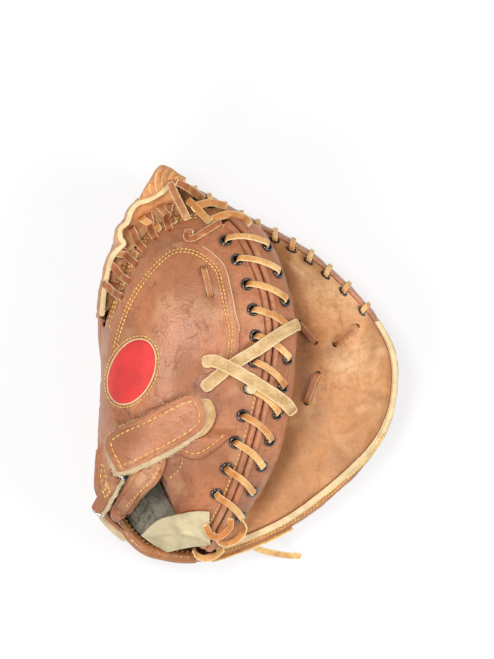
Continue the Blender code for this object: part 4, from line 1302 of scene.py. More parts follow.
def build_binding():
    """A folded suede binding with a brown outside and a thin reddish edge, and two rows of stitches."""
    points = smooth_rows(binding_grid(170), 40)
    points[..., 2] += 0.15 * ripple(points, 9.0, 21)
    binding = sheet(
        "rim_binding_suede", grid_shape(points), 39, 169, 1.5, UP,
        ["brown", "binding", "roll"],
    )
    middles = np.array([face.center[:] for face in binding.data.polygons]) / MM
    angle = np.arctan2(middles[:, 1] - FINGER_CENTRE[1], middles[:, 0] - FINGER_CENTRE[0])
    out = np.hypot(middles[:, 0] - FINGER_CENTRE[0], middles[:, 1] - FINGER_CENTRE[1])
    out = out - FINGERS.radius(angle) * RIM_SHARE
    shift = binding_shift(angle)
    brown_from, dark_from = -2.9 + 1.9 * shift, -7.7 + shift
    index = np.where(out > brown_from, 0, np.where(out > dark_from, 1, 2))
    binding.data.polygons.foreach_set("material_index", index.astype(np.int32))
    attach(binding, "finger_half", "suede", "rim_binding")
    rows = []
    for out in (-0.5, -2.1):
        turns = np.radians(np.linspace(-96, -22, 120))
        line = rim_point(turns, out + 0.5 * binding_shift(turns), 3.3)
        rows.append((line, np.tile([0.0, 0.0, 1.0], (len(line), 1))))
    sew("rim_binding_stitching", rows, "finger_half", 2.9, 3.1, 0.85)


def build_toe_lace():
    turns = range(WHIP_TURNS)
    route = [rim_point(whip_angle(turn + ahead), out, up) for turn in turns for out, up, ahead in WHIP_TURN]
    path = smooth(route[:-3], WHIP_TURNS * 44)
    across = left_of(path[:, :2] - FINGER_CENTRE)
    lace = thong("toe_whip_lace", path, across, TOE_LACE_WIDTH, worn=0.9)
    attach(lace, "finger_half", "rawhide", "toe_lace")


def build_heel_lace():
    """Two laces that cross each other along the heel's outer edge."""
    angles = np.radians(np.linspace(-98, -71, 90))
    outward = np.column_stack([np.cos(angles), np.sin(angles), np.full(90, 1.1)])
    for name, side, nodes in (("heel_rim_lace", 1, ["heel_lace"]), ("heel_cross_lace", -1, [])):
        sway = side * np.sin(np.linspace(0.4, 10.5, 90))
        path = wall_point(angles, 0.8 + 0.4 * sway, 0.86)
        path[:, 2] += 2.4 * sway
        lace = thong(name, path, outward, seed=5 + side, worn=0.8)
        attach(lace, "finger_half", "rawhide", *nodes)


HEEL_TAIL = [(9, -148, 30), (18, -151, 22), (28, -153.5, 11), (37, -155, 4), (46, -155.5, 1.4)]


def build_heel_tail():
    """The free end of the heel lace, which hangs down to the table."""
    path = smooth(HEEL_TAIL, 60)
    tail = thong("heel_lace_end", path, (0.5, 1, 0.3), tips=(1.0, 0.75), seed=4, worn=0.9)
    attach(tail, "finger_half", "rawhide", "heel_lace_tail")
    stock("lace_width") * MM


# The wrist opening

LINING_BEND = [(-1.0, 13.5), (7.0, 12.5), (13.5, 7.0), (16.0, -1.0)]
LINING_START = (-70, -110, 44)
LINING_END = (-70, -110, 62)


def crease_frame(rows):
    """Places along the crease from heel to toe, the height midway between the halves, and the way left."""
    line = smooth(CREASE, rows)
    middle = (palm_height(line[:, 0], line[:, 1]) + thumb_under(line[:, 0], line[:, 1])) / 2
    along = unit(np.gradient(line, axis=0))
    return line, middle, np.column_stack([-along[:, 1], along[:, 0]])


def build_lining():
    """Grey fleece over the fold and down to the heel, with a clumped pile."""
    crease, middle, left = (part[4:62] for part in crease_frame(160))
    heel = rim_point(np.radians(np.linspace(-113, -152, len(crease))), -8.5, 1.0)
    columns = [np.column_stack([crease + left * out, middle + up]) for out, up in LINING_BEND]
    columns += [columns[-1] + (heel - columns[-1]) * share for share in (0.5, 1.0)]
    points = smooth_rows(np.stack(columns, 1), 90)
    normal = unit(np.cross(np.gradient(points, axis=0), np.gradient(points, axis=1)))
    pile = 0.8 * ripple(points, 5.0, 31) + 0.5 * ripple(points, 2.2, 32)
    lining = sheet(
        "wrist_fleece", grid_shape(points + normal * pile[..., None]), 150, 110, 2.0, (-1, 0, 0.4),
        ["fleece"], edge=0.6,
    )
    # Painted light: the fleece is made paler towards the heel, where light falls on it.
    set_mask(lining, "edge", 0.9 * ease(-get_points(lining)[:, 1] / MM, 98, 124))
    roots, outward = points[::4, ::2].reshape(-1, 3), -normal[::4, ::2].reshape(-1, 3)
    strands = fibres("wrist_fleece_strands", roots, outward, "strands", 1500, 4.2, 33, 1.9)
    attach_bending(strands, LINING_START, LINING_END, "grey_fleece")
    attach_bending(lining, LINING_START, LINING_END, "grey_fleece", "wrist_lining")


def build_heel_roll():
    """The glossy rolled edge, with overcast stitches along its inner side."""
    angles = np.radians(np.linspace(-150, -103, 130))
    path = rim_point(angles, -2.0, 5.6)
    roll = band(
        "heel_roll_leather", path, UP, stock("roll") * 2, stock("roll") * 2, ["roll"],
        tips=(0.1, 0.1), rough=0.035,
    )
    attach(roll, "finger_half", "roll_leather", "heel_roll")
    rows = []
    for angle in np.radians(np.arange(-148, -104, 1.5)):
        ends = np.array([rim_point(angle, -6.4, 8.6), rim_point(angle + 0.012, -7.4, 4.6)])
        inward = np.array([-math.cos(angle), -math.sin(angle), 0.5])
        rows.append((ends + unit(inward) * 0.1, np.array([inward, inward])))
    sew("heel_roll_stitching", rows, "finger_half", 4.4, 4.0)


ANCHOR_BEND = ((-55, -140, 30), (-112, -100, 75))


def build_anchor_strap():
    """The end of the wrist strap that comes round from the finger side."""
    angles = np.radians(np.linspace(215, 238, 40))
    high = rim_point(angles, 4.4 - 5.5 * ease(angles, math.radians(229), math.radians(238)), 0)
    high[:, 2] = np.linspace(76, 52, 40)
    low = wall_point(angles, 1.0, 0.7)
    low[:, 2] = np.linspace(50, 30, 40)
    points = between(high, low, 30)
    outward = unit(points[..., :2] - FINGER_CENTRE)
    swell = 0.6 + 0.6 * ripple(points, 14.0, 41)
    points[..., :2] += outward * swell[..., None]
    strap = sheet(
        "anchor_strap_leather", grid_shape(points), 60, 80, 2.4, (-1, -0.6, 0.2), BROWN
    )
    attach_bending(strap, *ANCHOR_BEND, "brown_leather", "anchor_strap")
    route = smooth([(-116, -117, 62), (-112, -124, 58), (-104, -132.5, 54), (-95, -140, 51)], 60)
    across = left_of(np.gradient(route, axis=0))
    inside = band("anchor_strap_suede", route, across, 6.0, 1.6, ["backing"], tips=(1.0, 0.4), seed=42)
    attach_bending(inside, *ANCHOR_BEND, "suede")
    line = np.array([along_line(row, 0.91) for row in points])
    outside = np.column_stack([unit(line[:, :2] - FINGER_CENTRE), np.zeros(len(line))])
    sewing = stitches("anchor_strap_stitching", [(line + outside * 0.15, outside)])
    attach_bending(sewing, *ANCHOR_BEND, "suede")


# The web

WEB_TOP = [
    (-47, 148, 99.6), (-58, 146, 99.3), (-66, 139.5, 98.5), (-76, 133.5, 97.5), (-85, 130.5, 97),
    (-91, 124, 96.5), (-94, 115.5, 96), (-99.5, 110, 95.5), (-99.5, 102.5, 95), (-97, 98, 94.5),
    (-102.5, 92.5, 94), (-107, 86.5, 93), (-110, 75, 92), (-113, 60, 90), (-115, 40, 88),
]
WEB_BEND = ((-100, 100, 60), (-100, 100, 95))


def web_grid(rows, columns):
    top = smooth(WEB_TOP, rows)
    bottom = rim_point(np.radians(np.linspace(107, 160, rows)), -2.0, 0.7)
    outward = unit((top + bottom)[:, :2] / 2 - FINGER_CENTRE)
    share = np.linspace(0, 1, columns)
    bulge = np.interp(share, (0, 0.3, 0.65, 1), (0, 4.5, 4.5, 0))
    points = between(bottom, top, len(share))
    points[..., :2] += outward[:, None] * bulge[None, :, None]
    return smooth_rows(points[:, :: max(1, columns // 8)], columns), outward


def build_web():
    points, outward = web_grid(90, 48)
    wave = 1.0 * ripple(points, 20.0, 51) + 1.2 * creases(points, 26.0, 52, (1, 1, 0.4))
    points[..., :2] += outward[:, None] * (wave * np.sin(np.linspace(0, math.pi, 48)))[..., None]
    web = sheet(
        "web_leather", grid_shape(points), 60, 110, 3.4, (-1, 0.8, 0), TAN, edge=0.8
    )
    attach_bending(web, *WEB_BEND, "tan_leather", "web_panel")
    raw = smooth(WEB_TOP, 200)
    shares = np.linspace(0, 1, 200)
    out = np.column_stack([np.interp(shares, np.linspace(0, 1, 90), side) for side in outward.T])
    raw[:, :2] += out * -1.6
    across = left_of(np.gradient(raw, axis=0))
    edge = band(
        "web_raw_edge", raw, across, 4.2, 2.6, ["binding"], tips=(0.4, 0.4), rough=0.16, seed=54,
    )
    attach_bending(edge, *WEB_BEND, "suede")
    fray = fibres("web_edge_fray", raw, across, "edge", 500, 1.6, 55)
    attach_bending(fray, *WEB_BEND, "suede")


def build_inner_web():
    """The web's inside, which joins its raw edge to the thumb's."""
    top = smooth(WEB_TOP, 90)[8:] + np.array([1.5, -1.5, -10.0])
    edge = smooth(WEB_EDGE[::-1], len(top))
    low = lifted(thumb_top, edge, np.zeros(len(edge))) - np.array([0, 0, 5.0])
    share = np.linspace(0, 1, 24)
    points = between(top, low, len(share))
    points[..., 2] += 1.2 * ripple(points, 12.0, 53) - 2.5 * np.sin(share * math.pi)[None]
    inner = sheet(
        "web_inner_leather", grid_shape(points), 40, 110, 2.0, UP, TAN
    )
    attach(inner, "thumb_half", "tan_leather")


# Laces that tie the web's peak to the thumb and to the toe, by place and height
WEB_TIES = [
    [(-59, 145.6, 106), (-55, 136, 104.5), (-49, 124, 102), (-45, 116, 101)],
    [(-45, 131.7, 92), (-39, 126, 97), (-32, 118.5, 104), (-27, 113.8, 109)],
    [(-41, 124, 99), (-36.5, 127.5, 92), (-30, 129.5, 86), (-25.6, 130, 85), (-14, 126.8, 88)],
    [(-25.6, 116, 107), (-13.4, 120, 100), (-1, 118, 95), (4.4, 112, 103.5)],
]
WEB_TIE_FINISH = ("dark_rawhide", "rawhide", "rawhide", "rawhide", "dark_rawhide")
PEAK_TIE = [(-54, 146, 105), (-46, 142, 101), (-38, 137, 84), (-33, 133.4, 60)]


def build_web_ties():
    for number, route in enumerate([*WEB_TIES, PEAK_TIE], 1):
        path = smooth(route, 60)
        across = left_of(np.gradient(path, axis=0))
        tie = thong(
            f"web_tie_{number}", path, across, 6.2, WEB_TIE_FINISH[number - 1], tips=(0.8, 0.8),
            seed=60 + number, worn=np.linspace(0.0, 0.7, 60),
        )
        if route is PEAK_TIE:
            attach_bending(tie, *WEB_BEND, "rawhide")
        else:
            attach(tie, "thumb_half", "rawhide")


CROWN_OUTLINE = [
    (-84, 132), (-78, 143.5), (-74, 150), (-70.5, 156), (-66, 159.5), (-59, 157.5), (-52, 152.5),
    (-46, 148.5), (-53, 147.3), (-59.5, 145.5), (-65.5, 140), (-71, 135.5), (-78, 133),
]
CROWN_CENTRE = (-67, 147)
PLEAT_CENTRE = (-50.0, 146.0)
PLEAT_PITCH = 5.2


def crown_height(x, y):
    return 100 + 0.12 * (x + 66) - 0.012 * (y - 140) ** 2


def pleats(xy):
    """Folds of the peak, as rings about its right corner: 1 on top of a fold and -1 between two."""
    return np.cos(np.linalg.norm(xy - np.array(PLEAT_CENTRE), axis=-1) * 2 * math.pi / PLEAT_PITCH)


def build_crown():
    """The folded peak of the web: a thick pleated pad with a raw lower edge."""
    def lift(margin, xy):
        return 3.6 + 1.0 * pleats(xy) * ease(margin, 0.5, 3.0) - 2.4 * (1 - ease(margin, 0, 3.0))

    crown = disc(
        "web_crown_leather", CROWN_OUTLINE, CROWN_CENTRE, crown_height, lift, 60, 3.0,
        TAN, edge=0.6,
    )
    set_mask(crown, "worn", ease(pleats(get_points(crown)[:, :2] / MM), 0.2, 0.9))
    attach(crown, "thumb_half", "tan_leather", "web_crown")
    rows = [row_on(crown_height, smooth([(-79, 139), (-76, 142), (-73.5, 145.5)], 20), 4.4)]
    sew("web_crown_stitching", rows, "thumb_half")


# The lace round the thumb's far edge, next to the web
WEB_EDGE = [(-105, 52), (-98, 73), (-84, 100), (-63, 116), (-46, 120)]
WEB_TURN = [
    (-7.5, -4.5, -0.02), (-7.5, 2.6, 0.03), (-2.5, 3.4, 0.14), (5.0, 4.0, 0.32), (10.5, 2.5, 0.45),
    (8.0, -10.5, 0.5), (-2.0, -10.0, 0.7), (-6.0, -9.0, 0.9),
]
# A strip that crosses over each turn of it
WEB_CROSS = [
    (-6.0, 0.6, 0.5), (-3.5, 3.2, 0.44), (0.5, 5.4, 0.32), (6.0, 5.6, 0.18), (11.0, 3.0, 0.06),
    (12.5, -3.0, 0.04),
]
WEB_LACE_TURNS = 6
WEB_CROSSED = {2: "dark_rawhide", 4: "rawhide", 5: "dark_rawhide"}


def web_edge_place(turn, out, up):
    """A place by its turn along the edge, distance out and lift, with the edge's own way there."""
    edge = smooth(WEB_EDGE, 200)
    at = int((turn + 0.3) / (WEB_LACE_TURNS + 0.5) * (len(edge) - 1))
    way = unit(edge[at + 1] - edge[at - 1])
    left = np.array([-way[1], way[0]])
    if out < 0:
        return lifted(thumb_top, (edge[at] + left * out)[None], np.array([up]))[0], way
    return lifted(thumb_top, edge[at][None], np.zeros(1))[0] + np.array([*left * out, up]), way


def build_web_lace():
    turns = range(WEB_LACE_TURNS)
    stops = [web_edge_place(turn + ahead, out, up) for turn in turns for out, up, ahead in WEB_TURN][:-2]
    path = smooth([place for place, _ in stops], WEB_LACE_TURNS * 44)
    across = smooth([(*way, 0.2) for _, way in stops], WEB_LACE_TURNS * 44)
    lace = thong("web_whip_lace", path, across, 6.4, "dark_rawhide", seed=6)
    attach(lace, "thumb_half", "rawhide", "web_lace")
    for turn, finish in WEB_CROSSED.items():
        stops = [web_edge_place(turn + ahead, out, up) for out, up, ahead in WEB_CROSS]
        path = smooth([place for place, _ in stops], 40)
        cross = thong(
            f"web_cross_lace_{turn + 1}", path, (*stops[2][1], 0.2), 5.8, finish, tips=(0.8, 0.8),
            seed=70 + turn, worn=0.3,
        )
        attach(cross, "thumb_half", "rawhide")


# Leather that bends at the fold

def build_fold():
    line, middle, left = crease_frame(90)
    radius = thumb_under(line[:, 0], line[:, 1]) - middle
    line = line + left * 0.9
    columns = []
    for turn in np.radians(np.linspace(-90, 90, 24)):
        reach = ((radius + 2.4) * math.cos(turn))[:, None]
        columns.append(np.column_stack([line + left * reach, middle + (radius + 2.4) * math.sin(turn)]))
    crease = sheet(
        "pocket_fold_leather", grid_shape(np.stack(columns, 1)), 30, 90, 2.3, FOLD_SIDE,
        TAN,
    )
    attach_bending(crease, (-75, 0, 50), (-75, 0, 55), "tan_leather", "palm_crease")

    edge = smooth(BACK_EDGE, 300)
    edge = edge[(edge[:, 0] < -104) & (edge[:, 1] > -62) & (edge[:, 1] < 32)]
    top = lifted(thumb_top, edge, np.full(len(edge), -1.3)) - np.array([0, 0, 2.8])
    way = edge - FINGER_CENTRE
    bottom = rim_point(np.arctan2(way[:, 1], way[:, 0]), -2.6, 0.8)
    share = np.linspace(0, 1, 24)
    points = between(bottom, top, len(share))
    points[..., 0] -= np.sin(share * math.pi)[None] * (2.5 + 1.1 * ripple(points, 12.0, 61))
    gusset = sheet(
        "back_gusset_leather", grid_shape(points), 40, 110, 2.4, FOLD_SIDE, BROWN
    )
    attach_bending(gusset, (-112, 0, 62), (-112, 0, 78), "brown_leather", "back_gusset")


# The thumb half

def seam_frame(rows):
    line = smooth(SEAM, rows)
    along = unit(np.gradient(line, axis=0))
    return line, np.column_stack([along[:, 1], -along[:, 0]])


def seam_place(distance, offset):
    """A place by its distance along the seam from the heel and its offset to the right."""
    line, right = seam_frame(400)
    length = np.linalg.norm(np.diff(line, axis=0), axis=1).sum()
    share = distance / length
    aside = unit([np.interp(share, np.linspace(0, 1, 400), column) for column in right.T])
    return along_line(line, share) + offset * aside


def eyelet_places():
    back = [seam_place(FIRST_BACK_EYELET + BACK_PITCH * k, -EYELET_FROM_SEAM) for k in range(EYELETS)]
    palm = [seam_place(FIRST_PALM_EYELET + PALM_PITCH * k, EYELET_FROM_SEAM) for k in range(EYELETS)]
    return np.array(back), np.array(palm)


def dents(xy, places, depth, reach):
    """How far the leather is drawn in round each place."""
    drawn = np.zeros(xy.shape[:-1])
    for place in places:
        away = np.linalg.norm(xy - place, axis=-1)
        drawn = drawn + depth * np.exp(-((away / reach) ** 2))
    return drawn


def thumb_relief(xy):
    """Soft swells over the thumb back, folds next to the strap, and dents at the eyelets."""
    relief = 0.5 * ripple(xy, 30.0, 71) - 0.5
    relief = relief + 1.6 * mound(xy, -85, -45, 32, 22) * creases(xy, 13.0, 72, (0.7, 1.0))
    relief = relief + 1.0 * mound(xy, -44, -90, 16, 14) * creases(xy, 8.0, 74, (1.0, 0.5))
    return relief - dents(xy, eyelet_places()[0], 0.7, 7.0)


# Holes, as in the finger half
BACK_EYELET_HOLE = (4.0, 16)
PALM_EYELET_HOLE = (4.0, 14)
WEB_LACE_HOLE = (3.4, 12, 0.7)
BACK_TIE_HOLE = (3.2, 8)
# Places on the thumb back darkened as painted shade, as on the palm
THUMB_PAINTED_SHADE = [(-57, -97, 17, 38, -15, 1.25), (-70, -62, 22, 8, 25, 0.6), (4, -56, 8, 30, -14, 0.4)]
PANEL_SEAM = [(-48.3, -74.6), (-51, -80), (-55, -85), (-60, -89)]


def build_thumb_back():
    line, right = seam_frame(140)
    start = line - right * EDGE_FROM_SEAM
    end = smooth(BACK_EDGE, 140)
    xy = between(start, end, 130)
    edge = ease(np.linspace(0, 1, 130), 0, 0.04) * ease(1 - np.linspace(0, 1, 130), 0, 0.06)
    points = lifted(thumb_top, xy, thumb_relief(xy) * edge)
    places = eyelet_places()[0]
    spots, normals = spots_on(thumb_top, places)
    back = sheet(
        "thumb_back_leather", grid_shape(points), 129, 139, 2.4, UP, BROWN,
        edge=0.8, holes=(spots, normals, *BACK_EYELET_HOLE),
    )
    turns = [web_edge_place(turn, WEB_TURN[0][0], 0)[0] for turn in range(WEB_LACE_TURNS)]
    cut_holes(back, turns, surface_normal(thumb_top, np.array(turns)[:, :2]), *WEB_LACE_HOLE)
    tone(back, [], THUMB_PAINTED_SHADE)
    attach(back, "thumb_half", "brown_leather", "thumb_back")
    edge_line = smooth(BACK_EDGE, 400)
    edge_line = edge_line[(edge_line[:, 1] > 30) & (edge_line[:, 0] < -36)]
    way = unit(np.gradient(edge_line, axis=0))
    inward = -left_of(way)[:, :2]
    rows = [row_on(thumb_top, edge_line + inward * inset, 0.2) for inset in (2.2, 4.4)]
    rows.append(row_on(thumb_top, smooth(PANEL_SEAM, 60), 0.2))
    sew("thumb_edge_stitching", rows, "thumb_half")


def build_thumb_palm():
    """From the seam over the open edge and back under to the crease."""
    rows = 140
    line, right = seam_frame(rows)
    start = line + right * EDGE_FROM_SEAM
    edge = THUMB.at(np.radians(np.linspace(-80, 73, rows)), 1.0)
    crease = smooth(CREASE, rows)
    crease = crease + unit(edge - crease) * 0.6
    columns = []
    for share in (0, 0.17, 0.35, 0.52, 0.68, 0.8, 0.88, 0.94, 0.98):
        xy = start + (edge - start) * share
        columns.append(np.column_stack([xy, thumb_top(xy[:, 0], xy[:, 1])]))
    columns.append(np.column_stack([edge, thumb_rim(edge[:, 0], edge[:, 1])]))
    for share in (0.02, 0.06, 0.12, 0.25, 0.45, 0.65, 0.85, 1):
        xy = edge + (crease - edge) * share
        columns.append(np.column_stack([xy, thumb_under(xy[:, 0], xy[:, 1])]))
    points = smooth_rows(np.stack(columns, 1), 160)
    normal = unit(np.cross(np.gradient(points, axis=1), np.gradient(points, axis=0)))
    across = np.linspace(0, 1, 160)
    wave = 0.5 * ripple(points, 26.0, 81) + 0.9 * creases(points, 24.0, 82, (1, 0.5, 1)) - 0.4
    places = eyelet_places()[1]
    wave = wave * ease(across, 0, 0.05) * ease(1 - across, 0, 0.05)
    wave = wave - dents(points[..., :2], places, 0.5, 7)
    facing = np.sign((normal * (points - points.mean((0, 1)))).sum())
    points = points + normal * (wave * facing)[..., None]
    spots, normals = spots_on(thumb_top, places)
    leather = sheet(
        "thumb_palm_leather", grid_shape(points), 159, 139, 2.0, (1, 0, 0), BROWN, edge=0.6,
        holes=(spots, normals, *PALM_EYELET_HOLE),
    )
    attach(leather, "thumb_half", "brown_leather", "thumb_palm")

    edge = THUMB.at(np.radians(np.linspace(-74, 66, 50)), 1.0)
    crease = smooth(CREASE, 50)
    way = unit(edge - crease)
    first, last = crease + way * 14, edge - way * 16
    xy = between(first, last, 50)
    pad = sheet(
        "thumb_felt", grid_shape(lifted(thumb_under, xy, np.full((50, 50), 3.7))), 49, 49, 8.0, DOWN,
        ["felt"], edge=3.0,
    )
    attach(pad, "thumb_half", "pad_felt", "thumb_pad")


OVERLAY = [
    (-109, 12), (-99, 47), (-83, 74), (-66, 92), (-54, 97.5), (-41, 97), (-28, 91), (-16, 79),
    (-11, 62), (-7, 42), (-4, 26), (-9, -8), (-28, -30), (-62, -42), (-98, -56), (-109, -25),
]
OVERLAY_CENTRE = (-55, 14)
OVERLAY_SEWN_AT = (5.6, 8.0)
BACK_TIE = ((-32, 77), (-27, 55))


def overlay_lift(margin, xy):
    """The overlay stands proud of the thumb back, and runs out into it towards the strap."""
    sunk = ease(xy[:, 0], -60, -25) * ease(-xy[:, 1], -16, 12)
    relief = 0.5 * ripple(xy, 30.0, 71) - 0.4
    relief = relief + 1.8 * mound(xy, -88, -42, 30, 20) * creases(xy, 12.0, 73, (0.7, 1.0))
    sewn = 0.5 * (ridge(margin, OVERLAY_SEWN_AT[0]) + ridge(margin, OVERLAY_SEWN_AT[1]))
    rise = 2.6 + relief * ease(margin, 0, 8) - sewn - dents(xy, np.array(BACK_TIE, float), 1.2, 6.0)
    return rise * (1 - sunk) - 1.6 * sunk


def build_overlay():
    spots, normals = spots_on(thumb_top, np.array(BACK_TIE, float), 2.4)
    overlay = disc(
        "back_overlay_leather", OVERLAY, OVERLAY_CENTRE, thumb_top, overlay_lift, 150, 1.5,
        BROWN, edge=0.4, holes=(spots, normals, *BACK_TIE_HOLE),
    )
    attach(overlay, "thumb_half", "brown_leather", "back_overlay")
    rows = []
    for inset in OVERLAY_SEWN_AT:
        loop = part_of(inset_loop(OVERLAY, inset)[::-1], (-5, 6), (-104, 14))
        rows.append(row_on(thumb_top, loop, 2.5))
    sew("back_overlay_stitching", rows, "thumb_half", 2.5, 3.3)
    rim = part_of(inset_loop(OVERLAY, 0.2)[::-1], (-4, 26), (-34, 95))
    path = placed(thumb_top, rim, np.full(len(rim), 1.9))
    upward = surface_normal(thumb_top, rim)
    edge = band("back_overlay_edge", path, upward, 1.5, 1.3, ["edge"], tips=(0.2, 0.2))
    attach(edge, "thumb_half", "suede")
    tie = staple("back_tie_lace", thumb_top, BACK_TIE, 1.9, 4.6)
    attach(tie, "thumb_half", "rawhide", "back_tie")


BADGE_CENTRE = (-89.0, -4.4)
BADGE_AXES = (27.0, 17.0)
BADGE_TILT = math.radians(65)


def oval(grow):
    """The badge's outline, made larger on every side."""
    turns = np.linspace(0, 2 * math.pi, 40, endpoint=False)
    along, across = (BADGE_AXES[0] + grow) * np.cos(turns), (BADGE_AXES[1] + grow) * np.sin(turns)
    x = BADGE_CENTRE[0] + along * math.cos(BADGE_TILT) - across * math.sin(BADGE_TILT)
    y = BADGE_CENTRE[1] + along * math.sin(BADGE_TILT) + across * math.cos(BADGE_TILT)
    return np.column_stack([x, y])


def build_badge():
    """A plain padded oval patch with a pale overcast edge, and a row of stitches round it."""
    def lift(margin, xy):
        return 4.3 - 1.2 * (1 - ease(margin, 0, 2.4)) + 0.25 * ripple(xy, 9.0, 91)

    badge = disc(
        "badge_patch", oval(0.0), BADGE_CENTRE, thumb_top, lift, 70, 1.2,
        ["patch", "edge"], edge=0.3,
    )
    attach(badge, "thumb_half", "red_patch", "badge")
    loop = inset_loop(oval(0.3), 0.0, 200)
    path = placed(thumb_top, loop, np.full(200, 3.3))
    border = band("badge_border", path, surface_normal(thumb_top, loop), 1.0, 1.2, ["edge"], closed=True)
    attach(border, "thumb_half", "suede")
    rows = [row_on(thumb_top, inset_loop(oval(2.6), 0.0), 2.7)]
    sew("badge_stitching", rows, "thumb_half", 2.8, 3.4)


def build_welts():
    line, right = seam_frame(220)
    for name, side in (("welt_back", -1), ("welt_palm", 1)):
        xy = line + side * right * WELT_FROM_SEAM
        path = lifted(thumb_top, xy, np.full(220, 0.2))
        welt = band(
            f"{name}_leather", path, surface_normal(thumb_top, xy), stock("welt") * 2, stock("welt") * 2,
            ["brown"], tips=(0.6, 0.6), rough=0.03, seed=8 + side,
        )
        attach(welt, "thumb_half", "brown_leather", name)
    xy = line - right * (EDGE_FROM_SEAM + 1.6)
    rows = [row_on(thumb_top, xy[8:110], 0.2)]
    sew("seam_stitching", rows, "thumb_half")


def eyelet_template():
    """One eyelet about the origin, made from a circle that is drawn out round its profile."""
    bore, flange = stock("bore") * MM, stock("eyelet") * MM
    barrel = bore + 0.5 * MM
    profile = [
        (barrel, -4.2), (barrel, 0.2), (flange - 0.2 * MM, 0.2), (flange, 0.6), (flange - 0.35 * MM, 1.25),
        (flange - 0.9 * MM, 1.7), (bore + 0.7 * MM, 1.75), (bore + 0.15 * MM, 1.3), (bore, 0.4), (bore, -4.2),
    ]
    bpy.ops.object.select_all(action="DESELECT")
    bpy.ops.mesh.primitive_circle_add(vertices=32, radius=bore, location=(0, 0, -4.2 * MM))
    eyelet = bpy.context.object
    bpy.ops.object.transform_apply(location=True)
    bpy.ops.object.mode_set(mode="EDIT")
    bpy.ops.mesh.select_all(action="SELECT")
    radius, height = bore, -4.2
    for new_radius, new_height in profile:
        rise = (0, 0, (new_height - height) * MM)
        bpy.ops.mesh.extrude_region_move(TRANSFORM_OT_translate={"value": rise})
        grow = new_radius / radius
        bpy.ops.transform.resize(value=(grow, grow, 1), center_override=(0, 0, 0))
        radius, height = new_radius, new_height
    bpy.ops.mesh.select_all(action="SELECT")
    bpy.ops.mesh.remove_doubles(threshold=1e-6)
    bpy.ops.mesh.normals_make_consistent(inside=False)
    bpy.ops.object.mode_set(mode="OBJECT")
    return finish_mesh(eyelet, ["enamel"], 60)


def copy_piece(obj, name):
    """A copy of a piece with its own mesh."""
    copy = obj.copy()
    copy.data = obj.data.copy()
    copy.name = name
    bpy.context.scene.collection.objects.link(copy)
    return copy


def build_eyelets():
    template = eyelet_template()
    for side, places in zip(("back", "palm"), eyelet_places()):
        for k, (spot, normal) in enumerate(zip(*spots_on(thumb_top, places, -0.35)), 1):
            eyelet = copy_piece(template, f"eyelet_{side}_{k:02d}_ring")
            eyelet.data.transform(upright(spot, normal))
            attach(eyelet, "thumb_half", "black_enamel", f"eyelet_{side}_{k:02d}")
    bpy.data.objects.remove(template, do_unlink=True)


# Lace over a crossing and under to the next pair: distance in from an eyelet, and lift
OVER_LIFTS = [(0.0, -0.6), (0.5, 2.4), (2.4, 4.1)]
UNDER_LIFTS = [(0.0, -3.6), (0.6, -6.2), (2.6, -7.4)]
OVER_MIDDLE = 4.8
UNDER_MIDDLE = -7.8
LACE_BOW = 2.4


def lace_stretch(start, end, ends, middle, shares, bow=0.0):
    """The lace from one eyelet to the next, bowed towards the toe, and the way across it."""
    length = np.linalg.norm(end - start)
    way = (end - start) / length
    near, lowered = zip(*ends)
    far = [length - distance for distance in near[::-1]]
    distances = [*near, *(length * share for share in shares), *far]
    lifts = [*lowered, *[middle] * len(shares), *lowered[::-1]]
    reach = np.array(distances)[:, None]
    xy = start + way * reach + np.array([-way[1], way[0]]) * bow * np.sin(reach / length * math.pi)
    normal = surface_normal(thumb_top, ((start + end) / 2)[None])[0]
    return lifted(thumb_top, xy, np.array(lifts)), np.cross(normal, [*way, 0])


def build_thumb_lace():
    """One lace through every eyelet: it crosses over the welts and returns underneath."""
    back, palm = eyelet_places()
    path, across, worn = [], [], []
    for k in range(EYELETS):
        over, side = lace_stretch(back[k], palm[k], OVER_LIFTS, OVER_MIDDLE, (0.3, 0.5, 0.7), LACE_BOW)
        path.append(over)
        across += [side] * len(over)
        worn += list(np.linspace(0.1, 1.3, len(over)))
        if k + 1 < EYELETS:
            under, turned = lace_stretch(palm[k], back[k + 1], UNDER_LIFTS, UNDER_MIDDLE, (0.5,))
            path.append(under)
            turned = turned * np.sign(turned @ side)
            halfway = (unit(turned) + unit(side)) / 2
            across += [halfway] + [turned] * (len(under) - 2) + [halfway]
            worn += [0.5] * len(under)
    route = np.hstack([np.vstack(path), np.array(across) * 4, np.array(worn)[:, None]])
    route = smooth(route, EYELETS * 70)
    worn = np.clip(route[:, 6], 0, 1)
    lace = thong("thumb_seam_lace", route[:, :3], route[:, 3:6], rough=0.06, worn=worn)
    attach(lace, "thumb_half", "rawhide", "thumb_lace")


# Suede ties and short laces on the thumb back: place and lift
TIE_UPPER = [
    (43, 33, 4.5), (38, 31, 7), (26, 24, 8), (10, 13, 8), (-8, 2, 6), (-22, -9, 4.4), (-33, -18, 4.4),
]
TIE_LOWER = [
    (-33, 3, 4.6), (-24, 4, 6.4), (-12, -1, 9.6), (4, -10, 9.6), (20, -20, 8.6), (32, -29, 8.6),
    (39.5, -38, 8.4),
]
TOE_KNOT = [
    (-19, 114, 2.6), (-26, 109.5, 2.8), (-34, 104.5, 3.6), (-41, 100.5, 4.6), (-45.5, 101.5, 4.8),
    (-45, 105.5, 5.2), (-40.5, 105, 5.6),
]
HEEL_LOOP = [(-11, -121, 3.8), (-12, -129, 4.2), (-20, -136, 4.8), (-27, -134, 5.6), (-31, -126, 5.6)]

